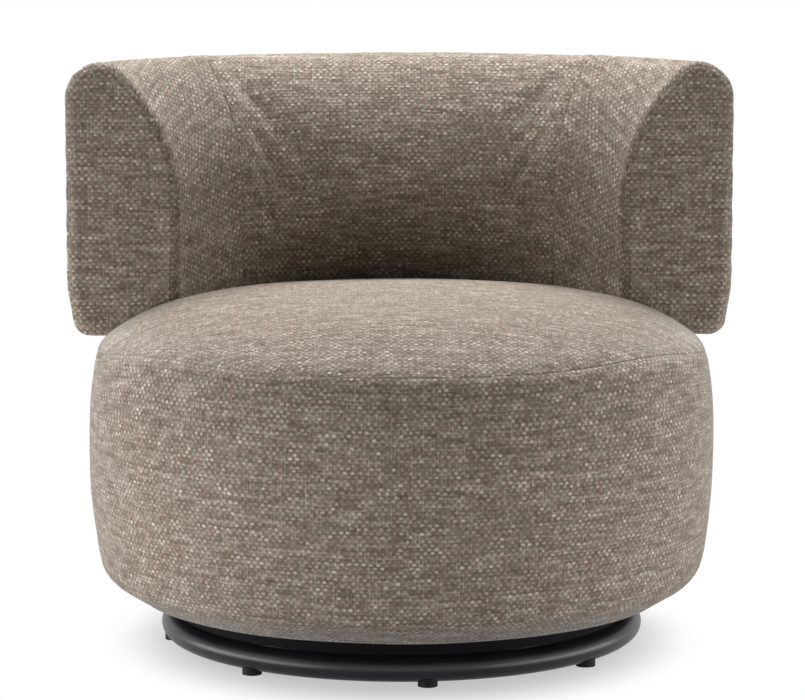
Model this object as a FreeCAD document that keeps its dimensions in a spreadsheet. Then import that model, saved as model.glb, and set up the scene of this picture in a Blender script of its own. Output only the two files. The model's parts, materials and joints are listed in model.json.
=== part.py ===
import FreeCAD, Part
import Sketcher
import math
import os

# A round swivel armchair in millimetres. +Z is up and the seated person faces -Y.
# The origin lies on the floor at the axis that the seat turns about.

Vector = FreeCAD.Vector
Placement = FreeCAD.Placement
Rotation = FreeCAD.Rotation
up = Vector(0, 0, 1)
full_turn = 360
half_turn = 180
quarter_turn = 90

# Driving sizes: millimetres, degrees and counts
driving = {
    # base ring and what it stands on
    "ring_inset": 95.6,
    "tube_radius": 14.4,
    "tube_wall": 2,
    "glide_height": 4.9,
    "glide_radius": 11,
    "glide_saddle": 4.5,
    "glide_count": 8,
    "glide_angle": 5,
    "glide_recess": 2.6,
    "skirt_inset": 2.4,
    "skirt_wall": 3,
    "skirt_gap": 3,
    # cross bars and hub
    "bar_width": 40,
    "bar_depth": 20,
    "bar_wall": 2,
    "hub_plate_radius": 90,
    "hub_plate_thickness": 6,
    # swivel bearing
    "bearing_plate_thickness": 4,
    "upper_plate_overhang": 30,
    "race_inset": 30,
    "ball_radius": 5,
    "ball_count": 24,
    "race_depth": 2,
    "cage_thickness": 2.4,
    "cage_half_width": 8,
    # pivot
    "pivot_radius": 6,
    "pivot_bush_radius": 8.5,
    "pivot_flange_radius": 15,
    "pivot_flange": 2,
    "washer_radius": 18,
    "washer_thickness": 2.5,
    "bolt_head_radius": 10.9,
    "bolt_head_height": 7.5,
    "bolt_nut_height": 7,
    "bolt_tail": 1.2,
    # small fasteners
    "lower_bolt_inset": 12,
    "lower_bolt_radius": 4,
    "lower_bolt_head": 7.5,
    "lower_bolt_count": 4,
    "lower_bolt_angle": 45,
    "upper_screw_inset": 14,
    "upper_screw_radius": 2.5,
    "upper_screw_head": 5,
    "upper_screw_head_height": 3,
    "upper_screw_reach": 13,
    "upper_screw_count": 6,
    "glide_screw_radius": 2,
    "glide_screw_head": 4,
    "glide_screw_head_height": 2,
    "glide_screw_reach": 6,
    "frame_bolt_radius": 4,
    "frame_bolt_head": 7,
    "frame_bolt_head_height": 5,
    # drum outside, as the cover shows it
    "drum_lift": 56,
    "belly_radius": 360,
    "belly_height": 222,
    "side_upper_arc": 545,
    "side_lower_arc": 725,
    "under_corner_arc": 26,
    "under_corner_rise": 41,
    "under_slope_angle": 34,
    "crown_height": 397,
    "crown_arc": 2400,
    "crown_inset": 105,
    "shoulder_arc": 202,
    # drum inside
    "board_inset": 70,
    "board_thickness": 18,
    "board_hole_radius": 30,
    "dust_thickness": 0.8,
    "dust_lap": 4,
    "flange_lap": 10,
    "drum_padding": 30,
    "rib_count": 8,
    "rib_thickness": 18,
    "rib_width": 100,
    "rib_flare_rise": 58.6,
    "cushion_depth": 97,
    "top_ring_width": 80,
    "top_ring_thickness": 18,
    "strap_width": 60,
    "strap_thickness": 1.4,
    "strap_pitch": 100,
    "strap_count": 5,
    "strap_lap": 38,
    # backrest outside, as the cover shows it
    "back_axis_offset": 52,
    "back_thickness": 123,
    "back_height": 663,
    "back_sink": 56,
    "back_front": 72,
    "back_outer_corner": 38,
    "back_taper_rise": 59,
    "back_taper": 8,
    "back_lower_corner": 17,
    "back_lean_rise": 190,
    "back_crest_arc": 25,
    "arm_edge_arc": 10,
    "arm_seam_depth": 5,
    "centre_seam_angle": 40,
    "outer_seam_inset": 16,
    # backrest inside
    "back_outer_padding": 20,
    "back_slope_padding": 11.6,
    "back_frame_lift": 51,
    "facing_thickness": 4,
    "rail_thickness": 18,
    "end_board_thickness": 15,
    "arm_front_foam": 22,
    "former_angle_share": 0.45,
    "former_count": 4,
    "upright_count": 5,
    "upright_inset": 18,
    "upright_width": 30,
    "upright_thickness": 6,
    "upright_reach": 120,
    "upright_front_gap": 27.8,
    "upright_rail_gap": 2.7,
    "upright_bolt_margin": 20,
    "upright_bolt_pitch": 55,
    # clearances and overruns
    "cover_thickness": 2.4,
    "soft_clearance": 0.3,
    "wood_fit": 0.5,
    "bolt_fit": 0.1,
    "turning_fit": 0.05,
    "ball_clearance": 0.3,
    "overrun": 20,
}

# Sizes that follow from the driving ones
derived = {
    "board_radius": "belly_radius - board_inset",
    "flange_radius": "board_radius - flange_lap",
    "dust_radius": "board_radius + dust_lap",
    "ring_radius": "belly_radius - ring_inset",
    "skirt_radius": "ring_radius - skirt_inset",
    "upper_plate_radius": "hub_plate_radius + upper_plate_overhang",
    "race_radius": "hub_plate_radius - race_inset",
    "lower_bolt_circle": "hub_plate_radius - lower_bolt_inset",
    "upper_screw_circle": "upper_plate_radius - upper_screw_inset",
    "ring_axis_height": "glide_height + tube_radius",
    "tube_bore_radius": "tube_radius - tube_wall",
    "tube_cope_radius": "tube_radius + bolt_fit",
    "glide_top": "glide_height + glide_saddle",
    "glide_outer": "ring_radius + glide_radius",
    "glide_recess_radius": "glide_screw_head + wood_fit",
    "glide_recess_outer": "ring_radius + glide_recess_radius",
    "glide_bore_radius": "glide_screw_radius + bolt_fit",
    "glide_screw_foot": "glide_recess - glide_screw_head_height",
    "glide_screw_tip": "glide_height + glide_screw_reach",
    "glide_screw_head_outer": "ring_radius + glide_screw_head",
    "glide_screw_outer": "ring_radius + glide_screw_radius",
    "board_underside": "drum_lift + cover_thickness",
    "board_top": "board_underside + board_thickness",
    "dust_underside": "drum_lift - dust_thickness",
    "dust_hole_radius": "upper_plate_radius + cover_thickness",
    "skirt_inner_radius": "skirt_radius - skirt_wall",
    "skirt_top": "dust_underside - skirt_gap",
    "skirt_height": "skirt_top - ring_axis_height",
    "upper_plate_underside": "board_underside - bearing_plate_thickness",
    "race_section": "ball_radius + ball_clearance",
    "ball_height": "upper_plate_underside - race_section + race_depth",
    "lower_plate_top": "ball_height - race_section + race_depth",
    "lower_plate_underside": "lower_plate_top - bearing_plate_thickness",
    "hub_plate_underside": "lower_plate_underside - hub_plate_thickness",
    "bar_underside": "hub_plate_underside - bar_depth",
    "bar_half_width": "bar_width / 2",
    "bar_bore_half_width": "bar_half_width - bar_wall",
    "bar_bore_low": "bar_underside + bar_wall",
    "bar_bore_high": "hub_plate_underside - bar_wall",
    "bar_inner_reach": "skirt_inner_radius - bolt_fit",
    "bar_reach": "sqrt(bar_inner_reach ^ 2 - bar_half_width ^ 2)",
    "bar_length": "2 * bar_reach",
    "half_bar_length": "bar_reach - bar_half_width",
    "cage_underside": "ball_height - cage_thickness / 2",
    "cage_inner_radius": "race_radius - cage_half_width",
    "cage_outer_radius": "race_radius + cage_half_width",
    "pivot_clear_radius": "pivot_radius + wood_fit",
    "pivot_bush_bore": "pivot_radius + turning_fit",
    "pivot_bush_seat": "pivot_bush_radius + bolt_fit",
    "pivot_flange_top": "board_underside + pivot_flange",
    "pivot_washer_low": "pivot_flange_top + soft_clearance",
    "pivot_washer_high": "pivot_washer_low + washer_thickness",
    "pivot_head_top": "pivot_washer_high + bolt_head_height",
    "nut_washer_low": "bar_underside - washer_thickness",
    "pivot_nut_low": "nut_washer_low - bolt_nut_height",
    "pivot_tail": "pivot_nut_low - bolt_tail",
    "washer_bore": "pivot_radius + bolt_fit",
    "lower_bolt_outer": "lower_bolt_circle + lower_bolt_radius",
    "lower_bolt_hole": "lower_bolt_radius + bolt_fit",
    "lower_bolt_head_outer": "lower_bolt_circle + lower_bolt_head",
    "lower_bolt_hole_outer": "lower_bolt_outer + bolt_fit",
    "lower_bolt_sink_outer": "lower_bolt_head_outer + bolt_fit",
    "lower_bolt_neck": "lower_plate_top - lower_bolt_head + lower_bolt_radius",
    "lower_bolt_tip": "hub_plate_underside + bolt_fit",
    "upper_screw_outer": "upper_screw_circle + upper_screw_radius",
    "upper_screw_hole": "upper_screw_radius + bolt_fit",
    "upper_screw_head_outer": "upper_screw_circle + upper_screw_head",
    "upper_screw_foot": "upper_plate_underside - upper_screw_head_height",
    "upper_screw_tip": "board_underside + upper_screw_reach",
    "upper_screw_pilot": "upper_screw_reach + bolt_fit",
    "under_corner_height": "drum_lift + under_corner_rise",
    "crown_flat_radius": "belly_radius - crown_inset",
    "drum_frame_radius": "belly_radius - drum_padding",
    "rib_inner_radius": "drum_frame_radius - rib_width",
    "rib_flare_height": "board_top + rib_flare_rise",
    "top_ring_inner_radius": "drum_frame_radius - top_ring_width",
    "top_ring_height": "crown_height - cushion_depth",
    "top_ring_underside": "top_ring_height - top_ring_thickness",
    "strap_reach": "top_ring_inner_radius + strap_lap",
    "cross_strap_height": "top_ring_height + strap_thickness",
    "cushion_underside": "cross_strap_height + strap_thickness",
    "back_outer_radius": "belly_radius + back_axis_offset",
    "back_inner_radius": "back_outer_radius - back_thickness",
    "back_lift": "crown_height - back_sink",
    "back_taper_height": "back_lift + back_taper_rise",
    "back_wall_height": "back_height - back_lean_rise",
    "back_crest_across": "back_thickness - back_outer_corner - back_crest_arc",
    "back_crest_rise": "back_lean_rise - back_crest_arc",
    "back_lean_angle": "2 * atan(back_crest_across / back_crest_rise) / 1 deg",
    "back_lean_arc": "back_crest_arc + back_crest_rise / sin(back_lean_angle)",
    "outer_seam_radius": "back_outer_radius - outer_seam_inset",
    "back_frame_front": "back_front + back_axis_offset + arm_front_foam",
    "rail_front": "back_frame_front + end_board_thickness",
    "upright_radius": "drum_frame_radius - upright_inset",
    "upright_front": "rail_front - back_axis_offset + upright_front_gap",
    "rear_rib_span": "2 * acos(upright_front / upright_radius) / 1 deg",
    "rear_rib_step": "rear_rib_span / (upright_count - 1)",
    "rear_rib_start": "90 - rear_rib_span / 2",
    "front_rib_step": "(360 - rear_rib_span) / (rib_count - upright_count + 1)",
    "upright_inner": "upright_radius - upright_width / 2",
    "upright_outer": "upright_radius + upright_width / 2",
    "upright_near": "rib_thickness / 2",
    "upright_far": "upright_near + upright_thickness",
    "slot_inner": "upright_inner - wood_fit",
    "slot_outer": "upright_outer + wood_fit",
    "slot_near": "upright_near - wood_fit",
    "slot_far": "upright_far + wood_fit",
    "slot_rail_inner": "slot_inner - upright_rail_gap",
    "slot_rail_along": "2 * back_axis_offset * slot_rail_inner * cos(rear_rib_span / 2)",
    "back_frame_inner_radius": "sqrt(slot_rail_inner ^ 2 + back_axis_offset ^ 2 + slot_rail_along)",
    "back_frame_outer_radius": "back_outer_radius - back_outer_padding",
    "inner_facing_radius": "back_frame_inner_radius - facing_thickness",
    "outer_facing_radius": "back_frame_outer_radius + facing_thickness",
    "back_slope_across": "inner_facing_radius - back_inner_radius - back_slope_padding",
    "back_slope_rise": "sqrt(back_slope_across * (2 * back_lean_arc - back_slope_across))",
    "back_frame_high": "back_wall_height + back_slope_rise",
    "back_frame_low": "back_lift + back_frame_lift",
    "upright_foot": "top_ring_height - upright_reach",
    "upright_top": "back_frame_high - rail_thickness",
    "upright_length": "upright_top - upright_foot",
    "slot_length": "upright_length + wood_fit",
    "upright_bolt_low": "upright_foot + upright_bolt_margin",
    "upright_bolt_high": "upright_bolt_low + upright_bolt_pitch",
    "former_step": "rear_rib_step * former_angle_share",
    "upright_bolt_hole": "frame_bolt_radius + bolt_fit",
    "upright_bolt_cut": "2 * upright_far + 2 * overrun",
    "frame_bolt_length": "2 * frame_bolt_head_height + upright_thickness + rib_thickness",
    "upright_bolt_start": "-upright_far - frame_bolt_head_height",
    "rail_top_underside": "back_frame_high - rail_thickness",
    "rail_low_top": "back_frame_low + rail_thickness",
    "former_outer": "back_frame_outer_radius - wood_fit",
    "back_frame_height": "back_frame_high - back_frame_low",
}

doc = FreeCAD.newDocument("swivel_armchair")
sheet = doc.addObject("Spreadsheet::Sheet", "Sizes")
removals = []
nodes = []


def fill_sheet():
    """Writes one row for each size: its name in column A, its value in column B."""
    rows = list(driving.items())
    rows += [(name, "=" + formula) for name, formula in derived.items()]
    for row, (name, content) in enumerate(rows, start=1):
        sheet.set("A%d" % row, name)
        sheet.set("B%d" % row, str(content))
        sheet.setAlias("B%d" % row, name)
    doc.recompute()


def size(name):
    return float(sheet.get(name))


def bind(target, prop, formula):
    """Ties a property to a size of the sheet, or to a formula of such sizes."""
    text = "Sizes." + formula if formula.isidentifier() else formula
    target.setExpression(prop, text)


# Bodies and sketches


def new_body(label):
    body = doc.addObject("PartDesign::Body", label)
    body.Label = label
    nodes.append(body)
    return body


def origin_feature(body, role):
    return next(item for item in body.Origin.OriginFeatures if item.Role == role)


def new_sketch(body, name, role="XY_Plane", lift=None):
    """A sketch on one of the body's own planes, raised along its normal by a size."""
    sketch = body.newObject("Sketcher::SketchObject", body.Label + "_" + name)
    sketch.AttachmentSupport = [(origin_feature(body, role), "")]
    sketch.MapMode = "FlatFace"
    if lift:
        bind(sketch, "AttachmentOffset.Base.z", lift)
    return sketch


def hold_point(sketch, geometry, point, across, along):
    """Ties a point of a sketch to two sizes; None stands for zero."""
    for kind, axis, name in (("DistanceX", -2, across), ("DistanceY", -1, along)):
        if name is None:
            sketch.addConstraint(Sketcher.Constraint("PointOnObject", geometry, point, axis))
            continue
        number = sketch.addConstraint(
            Sketcher.Constraint(kind, -1, 1, geometry, point, size(name))
        )
        bind(sketch, "Constraints[%d]" % number, name)


def add_circle(sketch, radius, across=None, along=None):
    centre = Vector(size(across) if across else 0, size(along) if along else 0, 0)
    circle = sketch.addGeometry(Part.Circle(centre, up, size(radius)), False)
    if across or along:
        hold_point(sketch, circle, 3, across, along)
    else:
        sketch.addConstraint(Sketcher.Constraint("Coincident", circle, 3, -1, 1))
    number = sketch.addConstraint(Sketcher.Constraint("Radius", circle, size(radius)))
    bind(sketch, "Constraints[%d]" % number, radius)


def add_outline(sketch, corners):
    """A closed outline of straight lines whose corners are pairs of sizes."""
    places = [Vector(size(a) if a else 0, size(b) if b else 0, 0) for a, b in corners]
    lines = []
    for start, end in zip(places, places[1:] + places[:1]):
        lines.append(sketch.addGeometry(Part.LineSegment(start, end), False))
    for line, following in zip(lines, lines[1:] + lines[:1]):
        sketch.addConstraint(Sketcher.Constraint("Coincident", line, 2, following, 1))
    for line, (across, along) in zip(lines, corners):
        hold_point(sketch, line, 1, across, along)


def add_axis(sketch, across, along):
    """A construction line upwards from a held point, for turned pieces off the centre."""
    foot = Vector(size(across), size(along), 0)
    head = foot + Vector(0, size("overrun"), 0)
    axis = sketch.addGeometry(Part.LineSegment(foot, head), True)
    sketch.addConstraint(Sketcher.Constraint("Vertical", axis))
    hold_point(sketch, axis, 1, across, along)
    number = sketch.addConstraint(Sketcher.Constraint("Distance", axis, size("overrun")))
    bind(sketch, "Constraints[%d]" % number, "overrun")


def new_feature(body, kind, name, sketch):
    feature = body.newObject("PartDesign::" + kind, body.Label + "_" + name)
    feature.Profile = sketch
    if kind in ("Pocket", "Groove"):
        removals.append(feature)
    return feature


def pad(body, name, sketch, length, symmetric=False):
    feature = new_feature(body, "Pad", name, sketch)
    if symmetric:
        feature.SideType = "Symmetric"
    bind(feature, "Length", length)
    return feature


def pocket(body, name, sketch, length, upwards=False, symmetric=False):
    feature = new_feature(body, "Pocket", name, sketch)
    feature.Reversed = upwards
    if symmetric:
        feature.SideType = "Symmetric"
    bind(feature, "Length", length)
    return feature


def turned(body, name, sketch, kind="Revolution", axis="V_Axis"):
    feature = new_feature(body, kind, name, sketch)
    feature.ReferenceAxis = (sketch, [axis])
    feature.Angle = full_turn
    return feature


def pattern(body, name, feature, count, angle=full_turn):
    """Repeats a feature about the body's vertical axis."""
    copies = body.newObject("PartDesign::PolarPattern", body.Label + "_" + name)
    copies.Originals = [feature]
    copies.Axis = (origin_feature(body, "Z_Axis"), [""])
    if isinstance(angle, str):
        bind(copies, "Angle", angle)
    else:
        copies.Angle = angle
    bind(copies, "Occurrences", count)
    body.Tip = copies
    return copies


def turn_body(body, formula, offset=None):
    """Turns a body about +Z and moves it back by a size, both tied to the sheet."""
    body.Placement = Placement(Vector(0, 0, 0), Rotation(up, 1))
    bind(body, "Placement.Rotation.Angle", formula)
    if offset:
        bind(body, "Placement.Base.y", "-Sizes." + offset)


def disc(label, radius, lift, thickness, hole=None):
    """A flat round plate, with a round hole at its centre if one is named."""
    body = new_body(label)
    sketch = new_sketch(body, "outline", lift=lift)
    add_circle(sketch, radius)
    if hole:
        add_circle(sketch, hole)
    pad(body, "plate", sketch, thickness)
    return body


def hole_circle(body, name, lift, depth, radius, circle, count):
    """A ring of round holes that go up from a height."""
    sketch = new_sketch(body, name + "_sketch", lift=lift)
    add_circle(sketch, radius, across=circle)
    hole = pocket(body, name, sketch, depth, upwards=True)
    return pattern(body, name + "_pattern", hole, count)


def turned_set(label, corners, circle, foot, count, formula=None):
    """Equal turned pieces on a circle about +Z: pads, bolts or screws."""
    body = new_body(label)
    sketch = new_sketch(body, "section", role="XZ_Plane")
    add_outline(sketch, corners)
    add_axis(sketch, circle, foot)
    piece = turned(body, "turned", sketch, axis="Axis0")
    pattern(body, "set", piece, count)
    if formula:
        turn_body(body, formula)
    return body


# Base: the ring and what is fixed to it

glide_start = "Sizes.glide_angle - 90"


def make_base_ring():
    body = new_body("base_ring")
    sketch = new_sketch(body, "tube_section", role="XZ_Plane")
    add_circle(sketch, "tube_radius", "ring_radius", "ring_axis_height")
    add_circle(sketch, "tube_bore_radius", "ring_radius", "ring_axis_height")
    turned(body, "tube", sketch)
    hole_circle(
        body, "screw_hole", None, "ring_axis_height",
        "glide_bore_radius", "ring_radius", "glide_count",
    )
    turn_body(body, glide_start)


def make_skirt_band():
    """The black band that stands on the tube and hides the swivel."""
    body = new_body("base_skirt_band")
    sketch = new_sketch(body, "outline", lift="ring_axis_height")
    add_circle(sketch, "skirt_radius")
    add_circle(sketch, "skirt_inner_radius")
    pad(body, "band", sketch, "skirt_height")
    cope_by_tube(body)


def cope_by_tube(body):
    """Shapes a piece to sit on the outside of the ring's tube."""
    sketch = new_sketch(body, "cope_section", role="XZ_Plane")
    add_circle(sketch, "tube_cope_radius", "ring_radius", "ring_axis_height")
    turned(body, "cope", sketch, kind="Groove")


def rectangle(sketch, half_width, low, high):
    """A rectangle centred on the sketch's vertical axis."""
    reach = size(half_width)
    corners = [
        Vector(-reach, size(low), 0),
        Vector(reach, size(low), 0),
        Vector(reach, size(high), 0),
        Vector(-reach, size(high), 0),
    ]
    first = sketch.GeometryCount
    for start, end in zip(corners, corners[1:] + corners[:1]):
        sketch.addGeometry(Part.LineSegment(start, end), False)
    for step in range(4):
        sketch.addConstraint(
            Sketcher.Constraint("Coincident", first + step, 2, first + (step + 1) % 4, 1)
        )
    sketch.addConstraint(Sketcher.Constraint("Symmetric", first, 1, first, 2, -2))
    sketch.addConstraint(Sketcher.Constraint("Symmetric", first + 2, 1, first + 2, 2, -2))
    sketch.addConstraint(Sketcher.Constraint("Vertical", first + 1))
    hold_point(sketch, first + 1, 1, half_width, low)
    number = sketch.addConstraint(
        Sketcher.Constraint("DistanceY", -1, 1, first + 1, 2, size(high))
    )
    bind(sketch, "Constraints[%d]" % number, high)


def cross_bar(label, length, start, turn):
    """A rectangular steel tube that runs out along its own -Y."""
    body = new_body(label)
    sketch = new_sketch(body, "section", role="XZ_Plane", lift=start)
    rectangle(sketch, "bar_half_width", "bar_underside", "hub_plate_underside")
    rectangle(sketch, "bar_bore_half_width", "bar_bore_low", "bar_bore_high")
    pad(body, "tube", sketch, length, symmetric=start is None)
    cope_by_tube(body)
    if start is None:
        hole = new_sketch(body, "pivot_sketch")
        add_circle(hole, "pivot_clear_radius")
        pocket(body, "pivot_hole", hole, "hub_plate_underside", upwards=True)
    body.Placement = Placement(Vector(0, 0, 0), Rotation(up, turn))


def make_cross_bars():
    cross_bar("base_cross_bar", "bar_length", None, quarter_turn)
    cross_bar("base_half_bar_front", "half_bar_length", "bar_half_width", 0)
    cross_bar("base_half_bar_rear", "half_bar_length", "bar_half_width", half_turn)


def make_hub_plate():
    body = disc(
        "base_hub_plate", "hub_plate_radius", "hub_plate_underside",
        "hub_plate_thickness", hole="pivot_clear_radius",
    )
    sketch = new_sketch(body, "tapped_sketch", lift="hub_plate_underside")
    add_circle(sketch, "lower_bolt_hole", across="lower_bolt_circle")
    hole = pocket(body, "tapped", sketch, "hub_plate_thickness", upwards=True)
    pattern(body, "tapped_set", hole, "lower_bolt_count")
    turn_body(body, "lower_bolt_angle")


def make_glides():
    corners = [
        ("ring_radius", "glide_recess"),
        ("glide_recess_outer", "glide_recess"),
        ("glide_recess_outer", None),
        ("glide_outer", None),
        ("glide_outer", "glide_top"),
        ("ring_radius", "glide_top"),
    ]
    body = turned_set(
        "base_glides", corners, "ring_radius", "glide_recess", "glide_count", glide_start
    )
    cope_by_tube(body)
    hole_circle(
        body, "bore", None, "ring_axis_height",
        "glide_bore_radius", "ring_radius", "glide_count",
    )


def make_glide_screws():
    corners = [
        ("ring_radius", "glide_screw_foot"),
        ("glide_screw_head_outer", "glide_screw_foot"),
        ("glide_screw_head_outer", "glide_recess"),
        ("glide_screw_outer", "glide_recess"),
        ("glide_screw_outer", "glide_screw_tip"),
        ("ring_radius", "glide_screw_tip"),
    ]
    turned_set(
        "glide_screws", corners, "ring_radius", "glide_screw_foot", "glide_count", glide_start
    )


# Swivel bearing and pivot


def race(body):
    """The ball groove in a bearing plate."""
    sketch = new_sketch(body, "race_section", role="XZ_Plane")
    add_circle(sketch, "race_section", "race_radius", "ball_height")
    turned(body, "race", sketch, kind="Groove")


def make_lower_plate():
    body = disc(
        "bearing_lower_plate", "hub_plate_radius", "lower_plate_underside",
        "bearing_plate_thickness", hole="pivot_clear_radius",
    )
    race(body)
    sketch = new_sketch(body, "sink_section", role="XZ_Plane")
    add_outline(sketch, [
        ("lower_bolt_circle", "lower_plate_underside"),
        ("lower_bolt_hole_outer", "lower_plate_underside"),
        ("lower_bolt_hole_outer", "lower_bolt_neck"),
        ("lower_bolt_sink_outer", "lower_plate_top"),
        ("lower_bolt_circle", "lower_plate_top"),
    ])
    add_axis(sketch, "lower_bolt_circle", "lower_plate_underside")
    sink = turned(body, "sink", sketch, kind="Groove", axis="Axis0")
    pattern(body, "sink_set", sink, "lower_bolt_count")
    turn_body(body, "lower_bolt_angle")


def make_lower_bolts():
    corners = [
        ("lower_bolt_circle", "lower_bolt_tip"),
        ("lower_bolt_outer", "lower_bolt_tip"),
        ("lower_bolt_outer", "lower_bolt_neck"),
        ("lower_bolt_head_outer", "lower_plate_top"),
        ("lower_bolt_circle", "lower_plate_top"),
    ]
    turned_set(
        "lower_plate_bolts", corners, "lower_bolt_circle", "lower_bolt_tip",
        "lower_bolt_count", "lower_bolt_angle",
    )


def make_upper_plate():
    body = disc(
        "bearing_upper_plate", "upper_plate_radius", "upper_plate_underside",
        "bearing_plate_thickness", hole="pivot_bush_seat",
    )
    race(body)
    hole_circle(
        body, "screw_hole", "upper_plate_underside", "bearing_plate_thickness",
        "upper_screw_hole", "upper_screw_circle", "upper_screw_count",
    )


def make_upper_screws():
    corners = [
        ("upper_screw_circle", "upper_screw_foot"),
        ("upper_screw_head_outer", "upper_screw_foot"),
        ("upper_screw_head_outer", "upper_plate_underside"),
        ("upper_screw_outer", "upper_plate_underside"),
        ("upper_screw_outer", "upper_screw_tip"),
        ("upper_screw_circle", "upper_screw_tip"),
    ]
    turned_set(
        "upper_plate_screws", corners, "upper_screw_circle", "upper_screw_foot",
        "upper_screw_count",
    )


def make_bearing_cage():
    body = disc(
        "bearing_cage", "cage_outer_radius", "cage_underside",
        "cage_thickness", hole="cage_inner_radius",
    )
    hole_circle(
        body, "ball_window", "cage_underside", "cage_thickness",
        "race_section", "race_radius", "ball_count",
    )


def make_bearing_balls():
    body = new_body("bearing_balls")
    ball = body.newObject("PartDesign::AdditiveSphere", "bearing_ball")
    bind(ball, "Radius", "ball_radius")
    bind(ball, "AttachmentOffset.Base.x", "race_radius")
    bind(ball, "AttachmentOffset.Base.z", "ball_height")
    ball.AttachmentSupport = [(origin_feature(body, "XY_Plane"), "")]
    ball.MapMode = "FlatFace"
    pattern(body, "set", ball, "ball_count")


def make_pivot():
    """The bolt that keeps the two bearing plates together, with its washers, nut and bush."""
    bolt = new_body("pivot_bolt")
    sketch = new_sketch(bolt, "section", role="XZ_Plane")
    add_outline(sketch, [
        (None, "pivot_tail"),
        ("pivot_radius", "pivot_tail"),
        ("pivot_radius", "pivot_washer_high"),
        ("bolt_head_radius", "pivot_washer_high"),
        ("bolt_head_radius", "pivot_head_top"),
        (None, "pivot_head_top"),
    ])
    turned(bolt, "turned", sketch)
    disc("pivot_head_washer", "washer_radius", "pivot_washer_low", "washer_thickness", "washer_bore")
    disc("pivot_nut_washer", "washer_radius", "nut_washer_low", "washer_thickness", "washer_bore")
    disc("pivot_nut", "bolt_head_radius", "pivot_nut_low", "bolt_nut_height", "washer_bore")
    bush = new_body("pivot_bush")
    sketch = new_sketch(bush, "section", role="XZ_Plane")
    add_outline(sketch, [
        ("pivot_bush_bore", "upper_plate_underside"),
        ("pivot_bush_radius", "upper_plate_underside"),
        ("pivot_bush_radius", "board_underside"),
        ("pivot_flange_radius", "board_underside"),
        ("pivot_flange_radius", "pivot_flange_top"),
        ("pivot_bush_bore", "pivot_flange_top"),
    ])
    turned(bush, "turned", sketch)


# Drum frame


def make_bottom_board():
    body = disc(
        "seat_bottom_board", "board_radius", "board_underside",
        "board_thickness", hole="board_hole_radius",
    )
    hole_circle(
        body, "pilot", "board_underside", "upper_screw_pilot",
        "upper_screw_hole", "upper_screw_circle", "upper_screw_count",
    )


def make_dust_cover():
    disc("dust_cover", "dust_radius", "dust_underside", "dust_thickness", "dust_hole_radius")


def count(name):
    return int(round(size(name)))


def rear_turns():
    """The directions of the rear ribs and of the uprights bolted to them, as formulas."""
    start = "Sizes.rear_rib_start + Sizes.rear_rib_step * %d"
    return [start % step for step in range(count("upright_count"))]


def front_turns():
    """The directions of the other ribs, which share the rest of the circle."""
    start = rear_turns()[-1] + " + Sizes.front_rib_step * %d"
    return [start % step for step in range(1, count("rib_count") - count("upright_count") + 1)]


def radial_panel(label, corners, thickness, formula, offset=None):
    """An upright flat panel that stands along a radius."""
    body = new_body(label)
    sketch = new_sketch(body, "outline", role="XZ_Plane")
    add_outline(sketch, corners)
    pad(body, "panel", sketch, thickness, symmetric=True)
    turn_body(body, formula, offset)
    return body


def make_ribs():
    corners = [
        ("rib_inner_radius", "board_top"),
        ("board_radius", "board_top"),
        ("drum_frame_radius", "rib_flare_height"),
        ("drum_frame_radius", "top_ring_underside"),
        ("rib_inner_radius", "top_ring_underside"),
    ]
    for number, formula in enumerate(rear_turns() + front_turns(), start=1):
        body = radial_panel("drum_rib_%d" % number, corners, "rib_thickness", formula)
        if number > count("upright_count"):
            continue
        sketch = new_sketch(body, "bolt_sketch", role="XZ_Plane")
        for height in ("upright_bolt_low", "upright_bolt_high"):
            add_circle(sketch, "upright_bolt_hole", "upright_radius", height)
        pocket(body, "bolt_holes", sketch, "upright_bolt_cut", symmetric=True)


def upright_section(body, name, lift, grown):
    """The rectangle of a back upright beside its rib, in the rib's own direction."""
    sketch = new_sketch(body, name, lift=lift)
    inner, outer, near, far = (
        ("slot_inner", "slot_outer", "slot_near", "slot_far") if grown
        else ("upright_inner", "upright_outer", "upright_near", "upright_far")
    )
    add_outline(sketch, [(inner, near), (outer, near), (outer, far), (inner, far)])
    return sketch


def make_top_ring():
    body = disc(
        "drum_top_ring", "drum_frame_radius", "top_ring_underside",
        "top_ring_thickness", hole="top_ring_inner_radius",
    )
    sketch = upright_section(body, "slot_sketch", "top_ring_underside", True)
    slot = pocket(body, "slot", sketch, "top_ring_thickness", upwards=True)
    pattern(body, "slot_set", slot, "upright_count", "rear_rib_span")
    turn_body(body, "rear_rib_start")


def make_uprights():
    """Flat steel bars that carry the backrest, each bolted to the side of a rear rib."""
    for number, formula in enumerate(rear_turns(), start=1):
        body = new_body("back_upright_%d" % number)
        sketch = upright_section(body, "section", "upright_foot", False)
        pad(body, "bar", sketch, "upright_length")
        holes = new_sketch(body, "bolt_sketch", role="XZ_Plane")
        for height in ("upright_bolt_low", "upright_bolt_high"):
            add_circle(holes, "upright_bolt_hole", "upright_radius", height)
        pocket(body, "bolt_holes", holes, "upright_bolt_cut", symmetric=True)
        turn_body(body, formula)


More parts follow.
